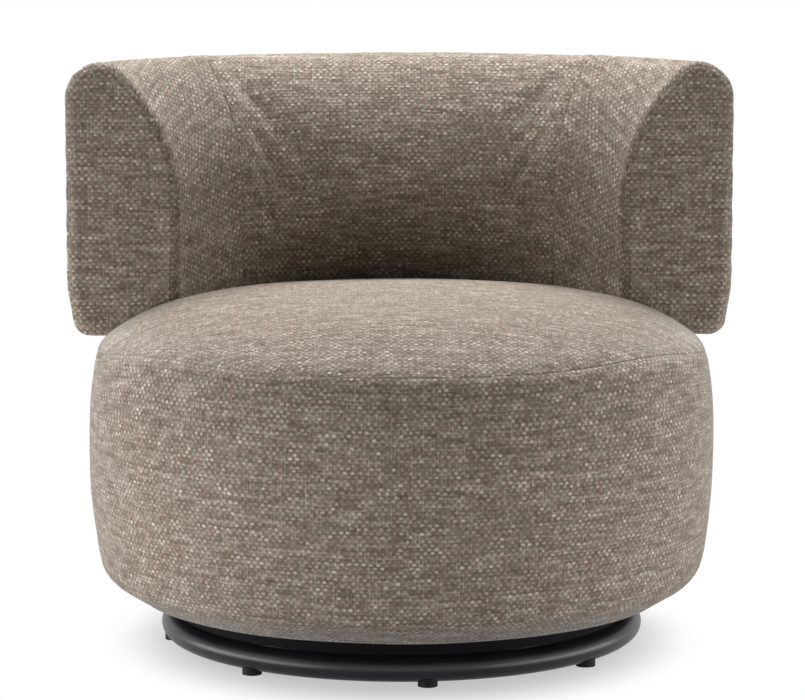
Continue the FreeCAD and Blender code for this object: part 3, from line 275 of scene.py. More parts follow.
# wool and viscose tweed, woven: rows of light floats staggered over a darker mottled ground
def makeTweed():
    material, tree, shader = newMaterial("woven_tweed", {
        "Roughness": tweed["roughness"], "Sheen Weight": tweed["sheen"],
        "Sheen Roughness": tweed["sheenRoughness"], "Specular IOR Level": tweed["specular"]})
    add = partial(addNode, tree)
    sums, vectors, noise, chances, combine = (
        "ShaderNode" + kind for kind in ("Math", "VectorMath", "TexNoise", "TexWhiteNoise", "CombineXYZ"))
    inPlane = {"noise_dimensions": "2D"}
    weave = add("ShaderNodeUVMap", {"uv_map": "weave"})
    weave = add(vectors, "SCALE", {0: weave, "Scale": 1 / mm})
    wander = add(noise, None, {
        "Vector": weave, "Scale": 1 / tweed["warpScale"], "Detail": 1.0}, "Color")
    place = add(vectors, "MULTIPLY_ADD", [wander, (2 * tweed["warp"],) * 3, weave])
    across, up = add("ShaderNodeSeparateXYZ", None, [place], None).outputs[:2]
    # cells of the weave: a row, and a place along it that is staggered row by row
    rowPlace = add(sums, "DIVIDE", [up, tweed["rowPitch"]])
    row = add(sums, "FLOOR", [rowPlace])
    odd = add(sums, "FLOORED_MODULO", [row, 2.0])
    slip = add(chances, {"noise_dimensions": "1D"}, {"W": row}, "Value")
    slip = add(sums, "MULTIPLY_ADD", [slip, tweed["slip"], odd])
    stagger = add(sums, "MULTIPLY", [slip, 0.5])
    along = add(sums, "MULTIPLY_ADD", [across, 1 / tweed["floatPitch"], stagger])
    column = add(sums, "FLOOR", [along])
    cell = add(combine, None, [column, row])
    chance = add(chances, inPlane, {"Vector": cell}, None).outputs
    # one float in each cell, a little off its middle
    inCell = add(combine, None, [along, rowPlace])
    inCell = add(vectors, "FRACTION", [inCell])
    stray = add(vectors, "MULTIPLY_ADD", [chance["Color"], tweed["stray"], tweed["strayFrom"]])
    inCell = add(vectors, "ADD", [inCell, stray])
    inCell = add(vectors, "DIVIDE", [inCell, tweed["floatSize"]])
    reach = add(vectors, "LENGTH", [inCell], "Value")
    # floats fade out in patches, and each row has stretches of its own where they stand out
    patch = add(noise, None, {"Vector": weave, "Scale": 1 / tweed["patchScale"], "Detail": 1.0})
    stretch = add(combine, None, [across, row])
    stretch = add(vectors, "MULTIPLY", [stretch, tweed["streakStep"]])
    streak = add(noise, inPlane, {"Vector": stretch, "Scale": 1.0, "Detail": 1.0})

    # multiplies an amount by values that each go through a soft step
    def weighed(amount, steps):
        for value, name in steps:
            limits = dict(zip(("From Min", "From Max", "To Min", "To Max"), tweed[name]))
            factor = add("ShaderNodeMapRange", {"interpolation_type": "SMOOTHSTEP"}, {
                "Value": value, **limits})
            amount = add(sums, "MULTIPLY", [amount, factor])
        return amount

    power, most, least = tweed["strength"]
    amount = add(sums, "POWER", [chance["Value"], power])
    amount = add(sums, "MULTIPLY_ADD", [amount, most, least])
    amount = weighed(amount, ((patch, "patch"), (streak, "streak"), (reach, "floatEdge")))
    tone = add(sums, "MULTIPLY_ADD", [amount, tweed["floatLift"], tweed["rest"]])
    # single thicker yarns between the rows and between the columns
    for pitch, run, weight, level in tweedYarns:
        line, other = (up, across) if level else (across, up)
        line = add(sums, "MULTIPLY_ADD", [line, 1 / pitch, tweed["yarnShift"]])
        number = add(sums, "FLOOR", [line])
        middle = add(sums, "SUBTRACT", [line, number])
        middle = add(sums, "PINGPONG", [middle, 0.5])
        where = add(combine, None, [other, number])
        where = add(vectors, "MULTIPLY", [where, (1 / run, tweed["yarnStep"], 0)])
        shown = add(noise, inPlane, {"Vector": where, "Scale": 1.0, "Detail": 1.0})
        yarn = weighed(weight, ((middle, "yarnEdge"), (shown, "yarnShown")))
        tone = add(sums, "ADD", [yarn, tone])
    for wide, high, detail, weight in tweedGrains:
        where = add(vectors, "MULTIPLY", [weave, (1 / wide, 1 / high, 1)])
        grain = add(noise, None, {
            "Vector": where, "Scale": 1.0, "Detail": detail, "Roughness": tweed["grainRoughness"]})
        grain = add(sums, "SUBTRACT", [grain, 0.5])
        tone = add(sums, "MULTIPLY_ADD", [grain, weight, tone])
    tint = add(noise, None, {"Vector": weave, "Scale": 1 / tweed["tintScale"], "Detail": 2.0})
    colour = add("ShaderNodeMix", {"data_type": "RGBA", "blend_type": "MULTIPLY"}, {
        0: 1.0, 6: rampNode(tree, tone, tweed["tones"]), 7: rampNode(tree, tint, tweed["tints"])}, 2)
    bump = add("ShaderNodeBump", None, {
        "Height": tone, "Strength": tweed["bump"], "Distance": tweed["bumpDepth"] * mm})
    tree.links.new(colour, shader.inputs["Base Color"])
    tree.links.new(bump, shader.inputs["Normal"])
    return material


# Plain finishes: two colours mixed by a noise of a real size, and a small bump. Each has its name,
# the colours, the sizes of noise and bump in millimetres, the bump's strength, its depth in
# millimetres and the roughness. Then come specular level, metallic and stretch, if it has its own.
# stretch lengthens the noise along the three axes, for wood grain and rolled steel.
plainFinishes = {
    # polyester powder coat: even satin black with a faint orange peel
    "black_powder_coat": (
        "satin_black_powder_coat", ("#101014", "#18181d"), 40.0, 1.4, 0.12, 0.15, 0.36, 0.3),
    # painted shade: the same coat on rolled sheet, coloured blacker and without gloss to stand for the
    # seat's shadow on it
    "painted_shade_skirt_coat": ("black_powder_coat_painted_shade", ("#08080a", "#0e0e11"), 40.0, 1.4, 0.2, 0.15, 0.75, 0.08),
    # moulded polyamide: dull black, slightly grey where it is worn
    "black_nylon": ("moulded_black_polyamide", ("#0b0b0c", "#171717"), 3.0, 0.6, 0.2, 0.1, 0.6, 0.15),
    # passivated zinc plate on steel: pale, slightly blotchy grey
    "zinc_steel": ("zinc_plated_steel", ("#a9aba8", "#c4c6c2"), 6.0, 0.8, 0.1, 0.05, 0.36, 0.5, 1.0),
    # ground and polished bearing steel: bright, nearly even
    "polished_steel": (
        "polished_bearing_steel", ("#cfcfcd", "#dadad8"), 2.0, 0.5, 0.02, 0.02, 0.12, 0.5, 1.0),
    # moulded natural polyamide: milky white, waxy
    "cage_nylon": ("moulded_natural_polyamide", ("#dcd7c8", "#e6e2d6"), 5.0, 0.8, 0.1, 0.05, 0.45),
    # hot rolled flat bar: blue-black mill scale with rolling streaks
    "black_steel_bar": (
        "hot_rolled_steel", ("#2a2b2e", "#45464a"), 9.0, 1.5, 0.3, 0.1, 0.5, 0.5, 0.6, (1, 1, 0.12)),
    # rotary cut birch plywood: pale, with long low-contrast grain
    "birch_plywood": (
        "birch_plywood", ("#cfae7c", "#e2c99c"), 7.0, 1.1, 0.2, 0.1, 0.6, 0.5, 0.0, (1, 0.08, 1)),
    # hardboard facing: brown, fine pressed fibres
    "fibreboard": ("pressed_fibreboard", ("#7d5d3f", "#94704d"), 2.5, 0.7, 0.3, 0.1, 0.8),
    # elastic upholstery webbing: black rubber threads under polypropylene yarn
    "elastic_webbing": ("elastic_webbing", ("#1d1c1b", "#3a3835"), 2.0, 1.0, 0.5, 0.3, 0.85),
    # spunbonded polypropylene: dull black with a fine mottled grain
    "dust_cloth": ("spunbonded_dust_cloth", ("#151515", "#2a2a29"), 1.6, 0.9, 0.5, 0.2, 0.9),
    # cut polyurethane foam: cream, open cells
    "seat_foam": ("polyurethane_foam", ("#e0d5ae", "#ece4c6"), 1.2, 0.8, 0.6, 0.4, 0.95),
}
plainNoise = {"from": 0.35, "to": 0.65, "detail": 4.0, "bumpDetail": 2.0, "roughSwing": 0.12}


def makePlainFinish(name, colours, scale, bumpScale, bump, depth, roughness,
                    specular=0.5, metallic=0.0, stretch=(1, 1, 1)):
    material, tree, shader = newMaterial(name, {
        "Roughness": roughness, "Metallic": metallic, "Specular IOR Level": specular})
    add = partial(addNode, tree)
    place = add("ShaderNodeTexCoord", output="Object")
    place = add("ShaderNodeVectorMath", "MULTIPLY", [place, stretch])
    blotch, grain = (
        add("ShaderNodeTexNoise", None, {
            "Vector": place, "Scale": 1 / (size * mm), "Detail": plainNoise[detail]})
        for size, detail in ((scale, "detail"), (bumpScale, "bumpDetail")))
    share = add("ShaderNodeMapRange", None, {
        "Value": blotch, "From Min": plainNoise["from"], "From Max": plainNoise["to"]})
    first, second = (linearColour(code) for code in colours)
    colour = add("ShaderNodeMix", {"data_type": "RGBA"}, {0: share, 6: first, 7: second}, 2)
    swing = roughness * plainNoise["roughSwing"]
    uneven = add("ShaderNodeMapRange", None, {
        "Value": blotch, "To Min": roughness - swing, "To Max": min(1, roughness + swing)})
    relief = add("ShaderNodeBump", None, {"Height": grain, "Strength": bump, "Distance": depth * mm})
    for key, value in (("Base Color", colour), ("Roughness", uneven), ("Normal", relief)):
        tree.links.new(value, shader.inputs[key])
    return material


def makeFinishes():
    made = {slot: makePlainFinish(*values) for slot, values in plainFinishes.items()}
    made["taupe_tweed"] = makeTweed()
    return made


finishes = makeFinishes()
print("finishes", len(finishes))


# every CAD node takes the finish that its slot names, or its own
# the skirt band takes the blacker copy of the coat: painted shade for the seat's shadow on it
ownFinishes = {"base_skirt_band": "painted_shade_skirt_coat"}


def dressNodes():
    for part in frame["record"]["subparts"]:
        for slot in frame["nodes"][part["node"]].material_slots:
            slot.material = finishes[ownFinishes.get(part["node"], part["material_slot"])]


# Forms. A half plane holds (distance from an axis, height); a run is a list of its points.

drumForm = {
    "lift": 56, "bellyRadius": 360, "bellyHeight": 222, "upperArc": 545, "lowerArc": 725,
    "cornerArc": 26, "cornerRise": 41, "underSlope": 34, "crownHeight": 397, "crownArc": 4500,
    "crownFlat": 235, "shoulderArc": 180, "flange": 280, "seamHeight": 347,
    "smoothRise": (290, 310, 380, 390), "smoothCount": 11,
}
backForm = {
    "axisY": -52, "outer": 416, "inner": 289, "height": 661.5, "lift": 339.5, "front": 72,
    "outerCorner": 42, "crestArc": 30, "leanRise": 162, "lowerCorner": 20, "taper": 6,
    "taperRise": 59, "frontArc": 15, "centreSeam": 40, "outerSeamInset": 16,
}
sampleStep = 2.0


# Points on an arc between two turns in degrees, with their outward normals.
def arcRun(centre, radius, start, end):
    count = max(3, int(abs(radians(end - start)) * radius / sampleStep) + 1)
    turns = np.radians(np.linspace(start, end, count))
    normals = np.stack([np.cos(turns), np.sin(turns)], axis=1)
    return np.array(centre) + radius * normals, normals


def lineRun(start, end, normal):
    start, end = np.array(start, float), np.array(end, float)
    count = max(2, int(np.linalg.norm(end - start) / sampleStep) + 1)
    points = start + (end - start) * np.linspace(0, 1, count)[:, None]
    return points, np.tile(normal, (count, 1))


# One run from several, without the doubled points where they meet.
def joinRuns(runs):
    points = np.concatenate([run[0] for run in runs])
    normals = unit(np.concatenate([run[1] for run in runs]))
    keep = np.ones(len(points), bool)
    keep[1:] = np.linalg.norm(np.diff(points, axis=0), axis=1) > 1e-6
    return points[keep], normals[keep]


def pointOn(centre, radius, turn):
    turn = radians(turn)
    return np.array(centre) + radius * np.array([cos(turn), sin(turn)])


# how much fuller the drum is than its plain arcs, by height
drumFullness = (
    (56, 62, 75, 95, 115, 150, 180, 210, 235, 260, 290, 320, 345, 365, 385),
    (-4.0, -3.0, -2.0, -1.0, 0.0, 0.8, 1.2, 0.8, 1.0, 2.0, 3.0, 2.8, 2.0, 1.0, 0.0),
)
# the seam's height by the angle from the chair's sides, in degrees
seamHeights = ((0, 7, 15, 22, 30, 37, 50, 61, 75), (333, 338, 343, 348, 353, 355.5, 354, 352, 351.4))


# The drum's outline: over the crown, round the shoulder and down the side to the flange.
def drumOutline():
    d = drumForm
    crown = (0, d["crownHeight"] - d["crownArc"])
    flatTurn = 90 - degrees(asin(d["crownFlat"] / d["crownArc"]))
    shoulder = pointOn(crown, d["crownArc"] - d["shoulderArc"], flatTurn)
    upper = np.array((d["bellyRadius"] - d["upperArc"], d["bellyHeight"]))
    lower = np.array((d["bellyRadius"] - d["lowerArc"], d["bellyHeight"]))
    apart = shoulder - upper
    reach = np.linalg.norm(apart)
    along = (d["upperArc"] ** 2 - d["shoulderArc"] ** 2 + reach ** 2) / (2 * reach)
    rise = sqrt(d["upperArc"] ** 2 - along ** 2)
    seam = upper + along * apart / reach + rise * np.array((-apart[1], apart[0])) / reach
    seamTurn, sideTurn = (
        degrees(atan2(*(seam - centre)[::-1])) for centre in (shoulder, upper))
    cornerReach = d["lowerArc"] - d["cornerArc"]
    cornerDrop = d["lift"] + d["cornerRise"] - d["bellyHeight"]
    lowerTurn = degrees(asin(cornerDrop / cornerReach))
    corner = pointOn(lower, cornerReach, lowerTurn)
    underTurn = d["underSlope"] - 90
    under = pointOn(corner, d["cornerArc"], underTurn)
    slope = tan(radians(d["underSlope"]))
    edge = (under[0] - (under[1] - d["lift"]) / slope, d["lift"])
    underNormal = pointOn((0, 0), 1, underTurn)
    top = joinRuns([
        arcRun(crown, d["crownArc"], 90, flatTurn),
        arcRun(shoulder, d["shoulderArc"], flatTurn, seamTurn),
    ])
    side = joinRuns([
        arcRun(upper, d["upperArc"], sideTurn, 0),
        arcRun(lower, d["lowerArc"], 0, lowerTurn),
        arcRun(corner, d["cornerArc"], lowerTurn, underTurn),
        lineRun(under, edge, underNormal),
        lineRun(edge, (d["flange"], d["lift"]), (0, -1)),
    ])
    points, normals = (np.concatenate([a, b[1:]]) for a, b in zip(top, side))
    fuller = np.interp(points[:, 1], *drumFullness) * np.clip(normals[:, 0], 0, 1)
    points = points + fuller[:, None] * normals
    shoulderOnly = np.interp(points[:, 1], d["smoothRise"], (0, 1, 1, 0))[:, None]
    count = d["smoothCount"]
    rounded = np.stack([
        np.convolve(np.pad(line, count // 2, "edge"), np.ones(count) / count, "valid")
        for line in points.T], axis=1)
    points = points + shoulderOnly * (rounded - points)
    steps = np.gradient(points, axis=0)
    smooth = unit(np.stack([-steps[:, 1], steps[:, 0]], axis=1))
    return points, unit(normals + np.clip(shoulderOnly * 100, 0, 1) * (smooth - normals))


drumRun = drumOutline()
seamSlot = int(np.argmin(np.abs(drumRun[0][:, 1] - drumForm["seamHeight"])))
drumTop, drumSide = ([part[:seamSlot + 1] for part in drumRun], [part[seamSlot:] for part in drumRun])
seamPoint = drumTop[0][-1]


# How far each point lies inside the drum's form, from its own height and reach.
def insideDrum(points, clearance=0.3):
    reach = np.hypot(points[..., 0], points[..., 1])
    above = np.interp(reach, drumTop[0][:, 0], drumTop[0][:, 1])
    order = np.argsort(drumSide[0][:, 1], kind="stable")
    beside = np.interp(points[..., 2], drumSide[0][order, 1], drumSide[0][order, 0])
    underTop = above + clearance - points[..., 2]
    withinSide = beside + clearance - reach
    depth = np.where(points[..., 2] > seamPoint[1], underTop, withinSide)
    return np.where(reach > seamPoint[0] + clearance, np.minimum(depth, withinSide), depth)


# The backrest's section, from the outer seam over the crest and down the inside,
# and from the outer seam down the outside and in along the bottom.
def backRun():
    b = backForm
    corner, crest, lower = b["outerCorner"], b["crestArc"], b["lowerCorner"]
    top = (b["outer"] - corner, b["height"] - corner)
    across = b["outer"] - corner - b["inner"] - crest
    rise = b["leanRise"] - crest
    turn = degrees(2 * atan(across / rise))
    lean = crest + rise / sin(radians(turn))
    wallTop = b["height"] - b["leanRise"]
    leanCentre = (b["inner"] + lean, wallTop)
    crestCentre = pointOn(leanCentre, lean - crest, 180 - turn)
    seamTurn = degrees(acos((b["outer"] - b["outerSeamInset"] - top[0]) / corner))
    taperTurn = degrees(atan(b["taper"] / (b["taperRise"] - lower)))
    foot = (b["outer"] - b["taper"] - lower / cos(radians(taperTurn)), b["lift"] + lower)
    taperEnd = pointOn(foot, lower, -taperTurn)
    bend = taperEnd[1] + (b["outer"] - taperEnd[0]) / tan(radians(taperTurn))
    taperNormal = pointOn((0, 0), 1, -taperTurn)
    inside = joinRuns([
        arcRun(top, corner, seamTurn, 90),
        arcRun(crestCentre, crest, 90, 180 - turn),
        arcRun(leanCentre, lean, 180 - turn, 180),
        lineRun((b["inner"], wallTop), (b["inner"], b["lift"] + lower), (-1, 0)),
    ])
    outside = joinRuns([
        arcRun(top, corner, seamTurn, 0),
        lineRun((b["outer"], top[1]), (b["outer"], bend), (1, 0)),
        lineRun((b["outer"], bend), taperEnd, taperNormal),
        arcRun(foot, lower, -taperTurn, -90),
        lineRun((foot[0], b["lift"]), (b["inner"] + lower, b["lift"]), (0, -1)),
    ])
    return inside, outside


backInside, backOutside = backRun()
backLoop = [np.concatenate([a[::-1], b[1:]]) for a, b in zip(backInside, backOutside)]


# A run carried to a turn about the backrest's axis; the turn may differ along it.
def sweptColumn(run, turn):
    turn = np.broadcast_to(turn, (len(run[0]),))
    place, outward = (
        np.stack([part[:, 0] * np.cos(turn), middle + part[:, 0] * np.sin(turn), part[:, 1]], axis=1)
        for part, middle in zip(run, (backForm["axisY"], 0)))
    return place, outward


# Where the arm's rounded front edge starts at each point of a run, for the right arm: the turn
# about the backrest's axis, the centre of the edge's arc, and the normal.
def armEnd(run):
    arc = backForm["frontArc"]
    centre = run[0] - arc * run[1]
    turn = np.arcsin((backForm["front"] + arc - backForm["axisY"]) / centre[:, 0])
    return turn, *sweptColumn((centre, run[1]), turn)


# A point of the arm's rounded edge, from the swept surface (0) to the flat front (1).
def edgeArc(place, outward, share):
    forward = np.array([0, -1.0, 0])
    angle = np.arccos(np.clip(outward @ forward, -1, 1))[:, None]
    direction = (np.sin((1 - share) * angle) * outward + np.sin(share * angle) * forward) / np.sin(angle)
    return place + backForm["frontArc"] * direction, direction


def fromBackAxis(points):
    return np.hypot(points[..., 0], points[..., 1] - backForm["axisY"])


def resample(values, lengths, wanted):
    return np.stack([np.interp(wanted, lengths, values[:, k]) for k in range(values.shape[1])], axis=1)


# Meshes from grids

mergeDistance = 0.02


# the faces of a grid of points in rows, pointing the way of rows crossed with columns
def gridFaces(rows, columns, closed):
    index = np.arange(rows * columns).reshape(rows, columns)
    following = np.roll(index, -1, axis=1)
    faces = np.stack([index[:-1], index[1:], following[1:], following[:-1]], axis=-1)
    return (faces if closed else faces[:, :-1]).reshape(-1, 4).tolist()


# a fan of faces from a tip to a ring of points that starts at a number
def fanFaces(tip, start, count):
    return [(tip, start + k, start + (k + 1) % count) for k in range(count)]


# a closed grid has one more column of weave places than of points; a pole closes its first row
def gridObject(name, points, weave, closed=False, pole=False, merged=False):
    rows, columns = points.shape[:2]
    places, faces = points.reshape(-1, 3), gridFaces(rows, columns, closed)
    corners = np.stack([weave[:-1, :-1], weave[1:, :-1], weave[1:, 1:], weave[:-1, 1:]], axis=-2)
    corners = corners.reshape(-1, 2)
    if pole:
        faces += fanFaces(len(places), 0, columns)
        places = np.concatenate([places, points[0].mean(axis=0, keepdims=True)])
        middle = weave[0, :columns].mean(axis=0)
        tips = [np.stack([middle, weave[0, k], weave[0, k + 1]]) for k in range(columns)]
        corners = np.concatenate([corners] + tips)
    piece = meshObject(name, places, faces)
    mesh = piece.data
    layer = mesh.uv_layers.new(name="weave")
    layer.data.foreach_set("uv", (corners.reshape(-1) * mm).astype(np.float32))
    mesh.polygons.foreach_set("use_smooth", np.ones(len(mesh.polygons), bool))
    if merged:
        shape = bmesh.new()
        shape.from_mesh(mesh)
        bmesh.ops.remove_doubles(shape, verts=shape.verts, dist=mergeDistance * mm)
        shape.to_mesh(mesh)
        shape.free()
    return piece


# Sewn edges. Distances are in millimetres from the seam.

seamEdge = {
    "rows": (0.0, 0.3, 0.7, 1.2, 2.0, 3.5, 6.0, 10.0),
    "roll": 0.8, "lip": (0.0, 2.0, 5.0),
    "dip": (0.8, 8.0), "seatDip": (1.2, 8.0), "sideDip": (1.5, 8.0),     # how deep, and how far it reaches
}
softness = {
    "step": 5.0, "swell": 0.6, "swellScale": 150.0, "swellStart": 30.0,
    "waves": 14, "waveStretch": (0.7, 0.8), "waveLevel": 1.6,
    "pucker": 0.5, "puckerScale": 26.0, "puckerReach": 22.0, "puckerStart": 4.0,
    "thickness": 1.8, "contact": 6.0,
}


# places along a length: close together beside a seam, and a step apart elsewhere
def spread(length, startSeam, endSeam):
    fine = np.array(seamEdge["rows"])
    low = fine[-1] if startSeam else 0.0
    high = length - fine[-1] if endSeam else length
    count = max(2, int(round((high - low) / softness["step"])) + 1)
    parts = [fine[:-1]] if startSeam else []
    parts.append(np.linspace(low, high, count))
    if endSeam:
        parts.append(length - fine[:-1][::-1])
    return np.concatenate(parts)


# how far the cloth lies under its smooth form at a distance from its seam
def sink(distance, dip="dip"):
    roll = seamEdge["roll"]
    inner = np.clip(roll - distance, 0, roll)
    rolled = roll - np.sqrt(np.maximum(roll ** 2 - inner ** 2, 0))
    deep, reach = seamEdge[dip]
    return rolled + deep * np.exp(-(distance / reach) ** 2)


# smooth unevenness from about -1 to 1 with a typical wavelength, the same on every run
def waves(places, scale, seed):
    count, (least, more) = softness["waves"], softness["waveStretch"]
    total = np.zeros(places.shape[:-1])
    for turn, phase, stretch in np.random.default_rng(seed).random((count, 3)):
        direction = np.array([cos(tau * turn), sin(tau * turn)])
        wave = tau / (scale * (least + more * stretch))
        total += np.sin(places @ direction * wave + tau * phase)
    return total * sqrt(2 / count) / softness["waveLevel"]


# the cloth's depth under its smooth form: seam, puckers beside it, slow swell between seams
def clothDepth(nearest, places, seed, dip="dip", sewn=1.0):
    fade = np.exp(-nearest / softness["puckerReach"]) * np.clip(nearest / softness["puckerStart"], 0, 1)
    pucker = softness["pucker"] * fade * waves(places, softness["puckerScale"], seed)
    calm = np.clip(nearest / softness["swellStart"], 0, 1)
    swell = softness["swell"] * calm * waves(places, softness["swellScale"], seed + 1)
    return sewn * sink(nearest, dip) + pucker - swell


# how tightly the seat's seam is drawn, by the distance to the right: tighter there
seamShares = ((-200, 40, 150, 290, 345), (0.4, 0.45, 1.0, 1.0, 0.4))


def seamShare(points):
    return np.interp(points[..., 0], *seamShares)


def pathLengths(points, axis):
    steps = np.linalg.norm(np.diff(points, axis=axis), axis=-1)
    start = np.zeros_like(np.take(steps, [0], axis=axis))
    return np.concatenate([start, np.cumsum(steps, axis=axis)], axis=axis)


# rows and columns at the sewn sides that turn down into the seam
def addLips(points, normals, weave, seams):
    sides = {"top": (0, 0), "bottom": (0, -1), "left": (1, 0), "right": (1, -1)}
    for side in seams:
        axis, end = sides[side]
        for drop in np.diff(seamEdge["lip"]):
            border, outward = np.take(points, [end], axis), np.take(normals, [end], axis)
            strips = [(border - drop * outward, points), (outward, normals),
                      (np.take(weave, [end], axis), weave)]
            if end:
                strips = [pair[::-1] for pair in strips]
            points, normals, weave = (np.concatenate(pair, axis=axis) for pair in strips)
    return points, normals, weave


# a cover from its grid: moved with the padding and into its seams, thickened, and put in its CAD
# nodes' place; form is the simulated form that it lies on
def makeCover(name, form, points, normals, weave, depth, seams, nodes, fill, **kind):
    points = swollen(points, form) - depth[..., None] * normals
    points, normals, weave = addLips(points, normals, weave, seams)
    piece = gridObject(name, points, weave, **kind)
    solid = piece.modifiers.new("cloth_thickness", "SOLIDIFY")
    solid.thickness = softness["thickness"] * mm
    solid.offset = -1.0
    piece.data.materials.append(finishes["taupe_tweed"])
    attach(piece, "seat")
    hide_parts(*nodes)
    print("covered", piece.name, len(piece.data.polygons))


# Drum: the seat's top panel and the side panel

drumSoft = {
    "columns": 440, "sideFill": 0.95, "seatFill": 0.85, "press": 2.0, "pressReach": 10.0,
    "pressFade": 8.0, "seamHold": 12.0, "seamEase": 80.0,   # the seam's rows keep to it, and fade from it
    "seamSmooth": 17, "calmEdge": 60, "seatSeed": 5, "sideSeed": 7, "slant": 0.7,
}
drumLengths = pathLengths(drumRun[0], 0)
drumTurns = np.arange(drumSoft["columns"]) / drumSoft["columns"] * tau - pi / 2


# the drum's outline at each row's and column's length along it, carried round the vertical axis
def turnedGrid(wanted):
    spokes = np.broadcast_to(np.stack([np.cos(drumTurns), np.sin(drumTurns)], axis=-1), (*wanted.shape, 2))
    flats = (resample(part, drumLengths, wanted.ravel()).reshape(*wanted.shape, 2) for part in drumRun)
    place, outward = (np.concatenate([flat[..., :1] * spokes, flat[..., 1:]], axis=-1) for flat in flats)
    return place, unit(outward)


# the seam's place along the outline in each column, and its mean
def seamPlaces():
    fromSide = np.degrees(np.abs(np.arcsin(np.sin(drumTurns))))
    heights = np.interp(fromSide, *seamHeights)
    count = drumSoft["seamSmooth"]
    heights = np.convolve(np.pad(heights, count // 2, "wrap"), np.ones(count) / count, "valid")
    places = np.interp(-heights, -drumRun[0][:, 1], drumLengths)
    return places, float(places.mean())


# rows of the drum; those near the seam follow it
def seamedGrid(rows, fromSeam, seams, mean):
    share = np.clip(1 - (fromSeam - drumSoft["seamHold"]) / drumSoft["seamEase"], 0, 1)
    return turnedGrid(rows[:, None] + share * (seams - mean))


# the backrest presses the seat down in a soft dip along its inner foot
def backPress(points):
    inside = np.clip(backForm["inner"] - fromBackAxis(points), 0, None)
    behind = 1 / (1 + np.exp(-(points[..., 1] - backForm["front"]) / drumSoft["pressFade"]))
    return drumSoft["press"] * np.exp(-inside / drumSoft["pressReach"]) * behind


# Padding: a cloth simulation on closed stand-ins pushes the covers out between their seams.
# What it moves is carried to the panels, whose fine edges the remesh would lose.

padding = {
    "voxel": 7.0, "inset": 1.0, "pressure": 4.0, "frames": 20, "cap": 6.0,
    "held": 6.0, "free": 28.0,                 # held this near to a seam, and free this far from it
    "levels": 20, "freeShare": 0.9, "footHeight": 100.0, "turnStep": 1.0, "poleGap": 4.0, "edgeColumns": 8,
    "neighbours": 6, "blend": 2.0,             # of the simulated points that move one point
}
swells = {}                                    # for the drum and the back: places, and how they moved


def ease(values, low, high):
    share = np.clip((values - low) / (high - low), 0, 1)
    return share * share * (3 - 2 * share)


def treeOf(points):
    tree = KDTree(len(points))
    for number, point in enumerate(points):
        tree.insert(point, number)
    tree.balance()
    return tree


def nearestDistance(points, targets):
    tree = treeOf(targets)
    return np.array([tree.find(point)[2] for point in points])


# a closed mesh: rings of points in order, with a fan over each end
def closedRings(rings):
    count, around = rings.shape[:2]
    points = np.concatenate([rings.reshape(-1, 3), rings[[0, -1]].mean(axis=1)])
    faces = gridFaces(count, around, True) + fanFaces(count * around, 0, around)
    lastFan = fanFaces(count * around + 1, (count - 1) * around, around)
    return points, faces + [(tip, second, first) for tip, first, second in lastFan]


def meshPlaces(mesh):
    found = np.empty((2, len(mesh.vertices) * 3), np.float32)
    for key, values in zip(("co", "normal"), found):
        mesh.vertices.foreach_get(key, values)
    places, normals = found.reshape(2, -1, 3)
    return places / mm, normals.astype(float)


# the object's mesh with its modifiers, as a new plain mesh
def plainMesh(piece):
    graph = bpy.context.evaluated_depsgraph_get()
    return bpy.data.meshes.new_from_object(piece.evaluated_get(graph), depsgraph=graph)


# blows up one closed form and keeps how its surface moved against the plain form
def inflate(name, rings, freedom):
    points, faces = closedRings(rings)
    piece = meshObject(name, points, faces)
    mesh = piece.data
    shape = bmesh.new()
    shape.from_mesh(mesh)
    bmesh.ops.recalc_face_normals(shape, faces=shape.faces)
    shape.to_mesh(mesh)
    shape.free()
    places, normals = meshPlaces(mesh)
    inset = padding["inset"] * ease(freedom(places), padding["held"], padding["free"])
    mesh.vertices.foreach_set("co", ((places - inset[:, None] * normals) * mm).ravel())
    voxels = piece.modifiers.new("even", "REMESH")
    voxels.mode = "VOXEL"
    voxels.voxel_size = padding["voxel"] * mm
    even = plainMesh(piece)
    piece.modifiers.clear()
    piece.data = even
    start, normals = meshPlaces(even)
    loose = ease(freedom(start), padding["held"], padding["free"])
    group = piece.vertex_groups.new(name="sewn")
    levels = np.round((1 - loose) * padding["levels"]).astype(int)
    for level in range(1, padding["levels"] + 1):
        group.add(np.flatnonzero(levels == level).tolist(), level / padding["levels"], "REPLACE")
    cloth = piece.modifiers.new("padding", "CLOTH")
    cloth.settings.vertex_group_mass = "sewn"
    cloth.settings.use_pressure = True
    cloth.settings.uniform_pressure_force = padding["pressure"]
    cloth.settings.effector_weights.gravity = 0
    cloth.point_cache.frame_start, cloth.point_cache.frame_end = 1, padding["frames"]
    for frame in range(1, padding["frames"] + 1):
        bpy.context.scene.frame_set(frame)
    moved = meshPlaces(plainMesh(piece))[0] - start
    length = np.linalg.norm(moved, axis=1, keepdims=True)
    moved *= np.minimum(1, padding["cap"] / np.maximum(length, 1e-6))
    outward = float((moved * normals).sum(axis=1)[loose > padding["freeShare"]].mean())
    print("inflated", name, len(start), "points, outward by", round(outward, 2), "mm, at most",
          round(float(length.max()), 2))
    bpy.data.objects.remove(piece)
    bpy.context.scene.frame_set(1)
    offset = moved - padding["inset"] * loose[:, None] * normals
    swells[name] = (start, offset)


# moves points as the simulated surface beside them moved
def swollen(points, name):
    if name not in swells:
        return points
    start, offset = swells[name]
    tree = treeOf(start)
    flat = points.reshape(-1, 3)
    shift = np.zeros(flat.shape)
    for number, point in enumerate(flat):
        found = tree.find_n(point, padding["neighbours"])
        weights = np.array([1 / (distance + padding["blend"]) ** 2 for place, slot, distance in found])
        shift[number] = weights @ offset[[slot for place, slot, distance in found]] / weights.sum()
    return points + shift.reshape(points.shape)


